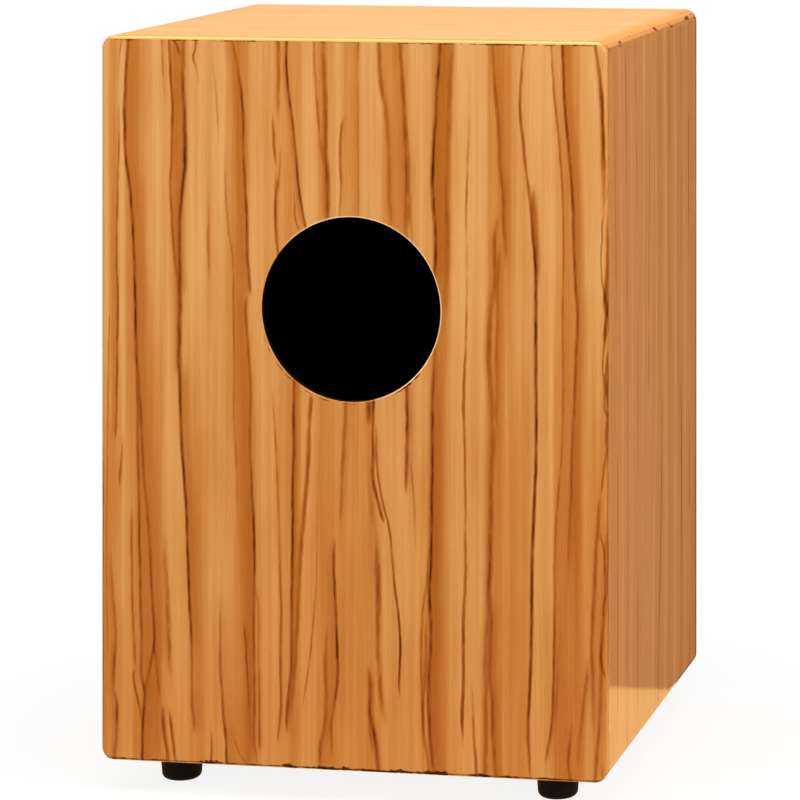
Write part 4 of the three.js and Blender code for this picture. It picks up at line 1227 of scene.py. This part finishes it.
def floor_paper():
    """White paper, clear from below. In mirror-like reflections it is warm and bright near the box
    and dusky beyond."""
    material = bpy.data.materials.new("floor_paper")
    g, output = stage_tree(material, "ShaderNodeOutputMaterial")
    paper = g.node("ShaderNodeBsdfDiffuse", {"Color": PAPER}).outputs[0]
    point, x, y, z = g.place()
    near = g.spread(y, FLOOR_GLOW_END - 6, FLOOR_GLOW_END + 6)
    mirrored = g.mix(g.times(near, g.spread(y, *FLOOR_GLOW_FADE, 1, 0)), DUSK, FLOOR_GLOW)
    rays = g.node("ShaderNodeLightPath").outputs
    reach = g.node("ShaderNodeVectorMath", {0: point}, operation="LENGTH").outputs["Value"]
    away = g.times(g.spread(reach, *PAPER_FADE), rays["Is Camera Ray"])
    faded = choose(g, away, paper, lit(g, "ShaderNodeEmission", WHITE))
    surface = choose(g, rays["Is Glossy Ray"], faded, lit(g, "ShaderNodeEmission", mirrored))
    underneath = g.node("ShaderNodeNewGeometry").outputs["Backfacing"]
    clear = g.node("ShaderNodeBsdfTransparent").outputs[0]
    g.feed(output, {"Surface": choose(g, g.times(underneath, rays["Is Camera Ray"]), surface, clear)})
    return material


def floor():
    bm = bmesh.new()
    bmesh.ops.create_grid(bm, x_segments=1, y_segments=1, size=FLOOR_SIZE)
    mesh = bpy.data.meshes.new("floor")
    bm.to_mesh(mesh)
    bm.free()
    mesh.materials.append(floor_paper())
    obj = bpy.data.objects.new("floor", mesh)
    SCENE.collection.objects.link(obj)


def sky():
    """An even white surround for the camera and for diffuse light; mirrored, it is warm and dim."""
    world = bpy.data.worlds.new("studio")
    g, output = stage_tree(world, "ShaderNodeOutputWorld")
    kind = "ShaderNodeBackground"
    rays = g.node("ShaderNodeLightPath").outputs
    toward = g.node("ShaderNodeTexCoord").outputs["Generated"]
    toward = g.node("ShaderNodeSeparateXYZ", {0: toward}).outputs
    low = g.spread(toward["Z"], 0.05, 0.5, 1, 0)
    mirrored = g.mix(g.times(low, g.spread(toward["Y"], -0.6, 0.1, 1, 0)), DIM, GLOW)
    mirrored = g.mix(g.spread(toward["Z"], 0.82, 0.94), mirrored, OVERHEAD)
    surround = choose(g, rays["Is Glossy Ray"], lit(g, kind, WHITE, AMBIENT), lit(g, kind, mirrored))
    g.feed(output, {"Surface": choose(g, rays["Is Camera Ray"], surround, lit(g, kind, WHITE))})
    SCENE.world = world


def softbox(name, place, target, size, power, mirrored=True):
    light = bpy.data.lights.new(name, "AREA")
    light.shape = "RECTANGLE"
    light.size, light.size_y = size
    light.energy = power
    obj = bpy.data.objects.new(name, light)
    obj.location = place
    obj.rotation_euler = (Vector(target) - Vector(place)).to_track_quat("-Z", "Y").to_euler()
    obj.visible_glossy = mirrored
    SCENE.collection.objects.link(obj)


def studio():
    floor()
    sky()
    softbox("top_light", (0.0, 0.9, 2.4), (0, 0.1, 0.3), (1.8, 1.2), 34, mirrored=False)
    softbox("back_light", (0.9, 3.2, 1.7), (0, 0, 0.3), (2.0, 1.6), 10)
    softbox("side_light", (-2.6, 0.6, 1.6), (0, 0, 0.25), (1.4, 1.4), 36)
    SCENE.view_settings.view_transform = "Standard"


# ---- Camera -----------------------------------------------------------------------------------
CAMERA_PLACE = Vector((-0.6276, 2.2984, 0.6513))
CAMERA_YAW = 0.1668  # it looks along -Y, turned this much towards +X
CAMERA_LENS = 159.48
LENS_SHIFT = (-0.4609, -0.7931)


def camera():
    """A level camera with a shifted lens, so that upright edges stay upright. The shift belongs to
    this viewpoint alone, so it switches off when the camera is moved to look from elsewhere."""
    data = bpy.data.cameras.new("camera")
    data.sensor_width = 36
    data.lens = CAMERA_LENS
    data.clip_start, data.clip_end = 0.05, 100
    obj = bpy.data.objects.new("camera", data)
    obj.location = CAMERA_PLACE
    obj.rotation_euler = (math.pi / 2, 0, math.pi + CAMERA_YAW)
    SCENE.collection.objects.link(obj)
    SCENE.camera = obj
    for path, shift in zip(("shift_x", "shift_y"), LENS_SHIFT):
        driver = data.driver_add(path).driver
        driver.type = "SCRIPTED"
        place = driver.variables.new()
        place.name = "y"
        place.type = "TRANSFORMS"
        place.targets[0].id = obj
        place.targets[0].transform_type = "LOC_Y"
        place.targets[0].transform_space = "WORLD_SPACE"
        driver.expression = f"{shift} if abs(y - {CAMERA_PLACE.y:.4f}) < 0.001 else 0"


studio()
camera()
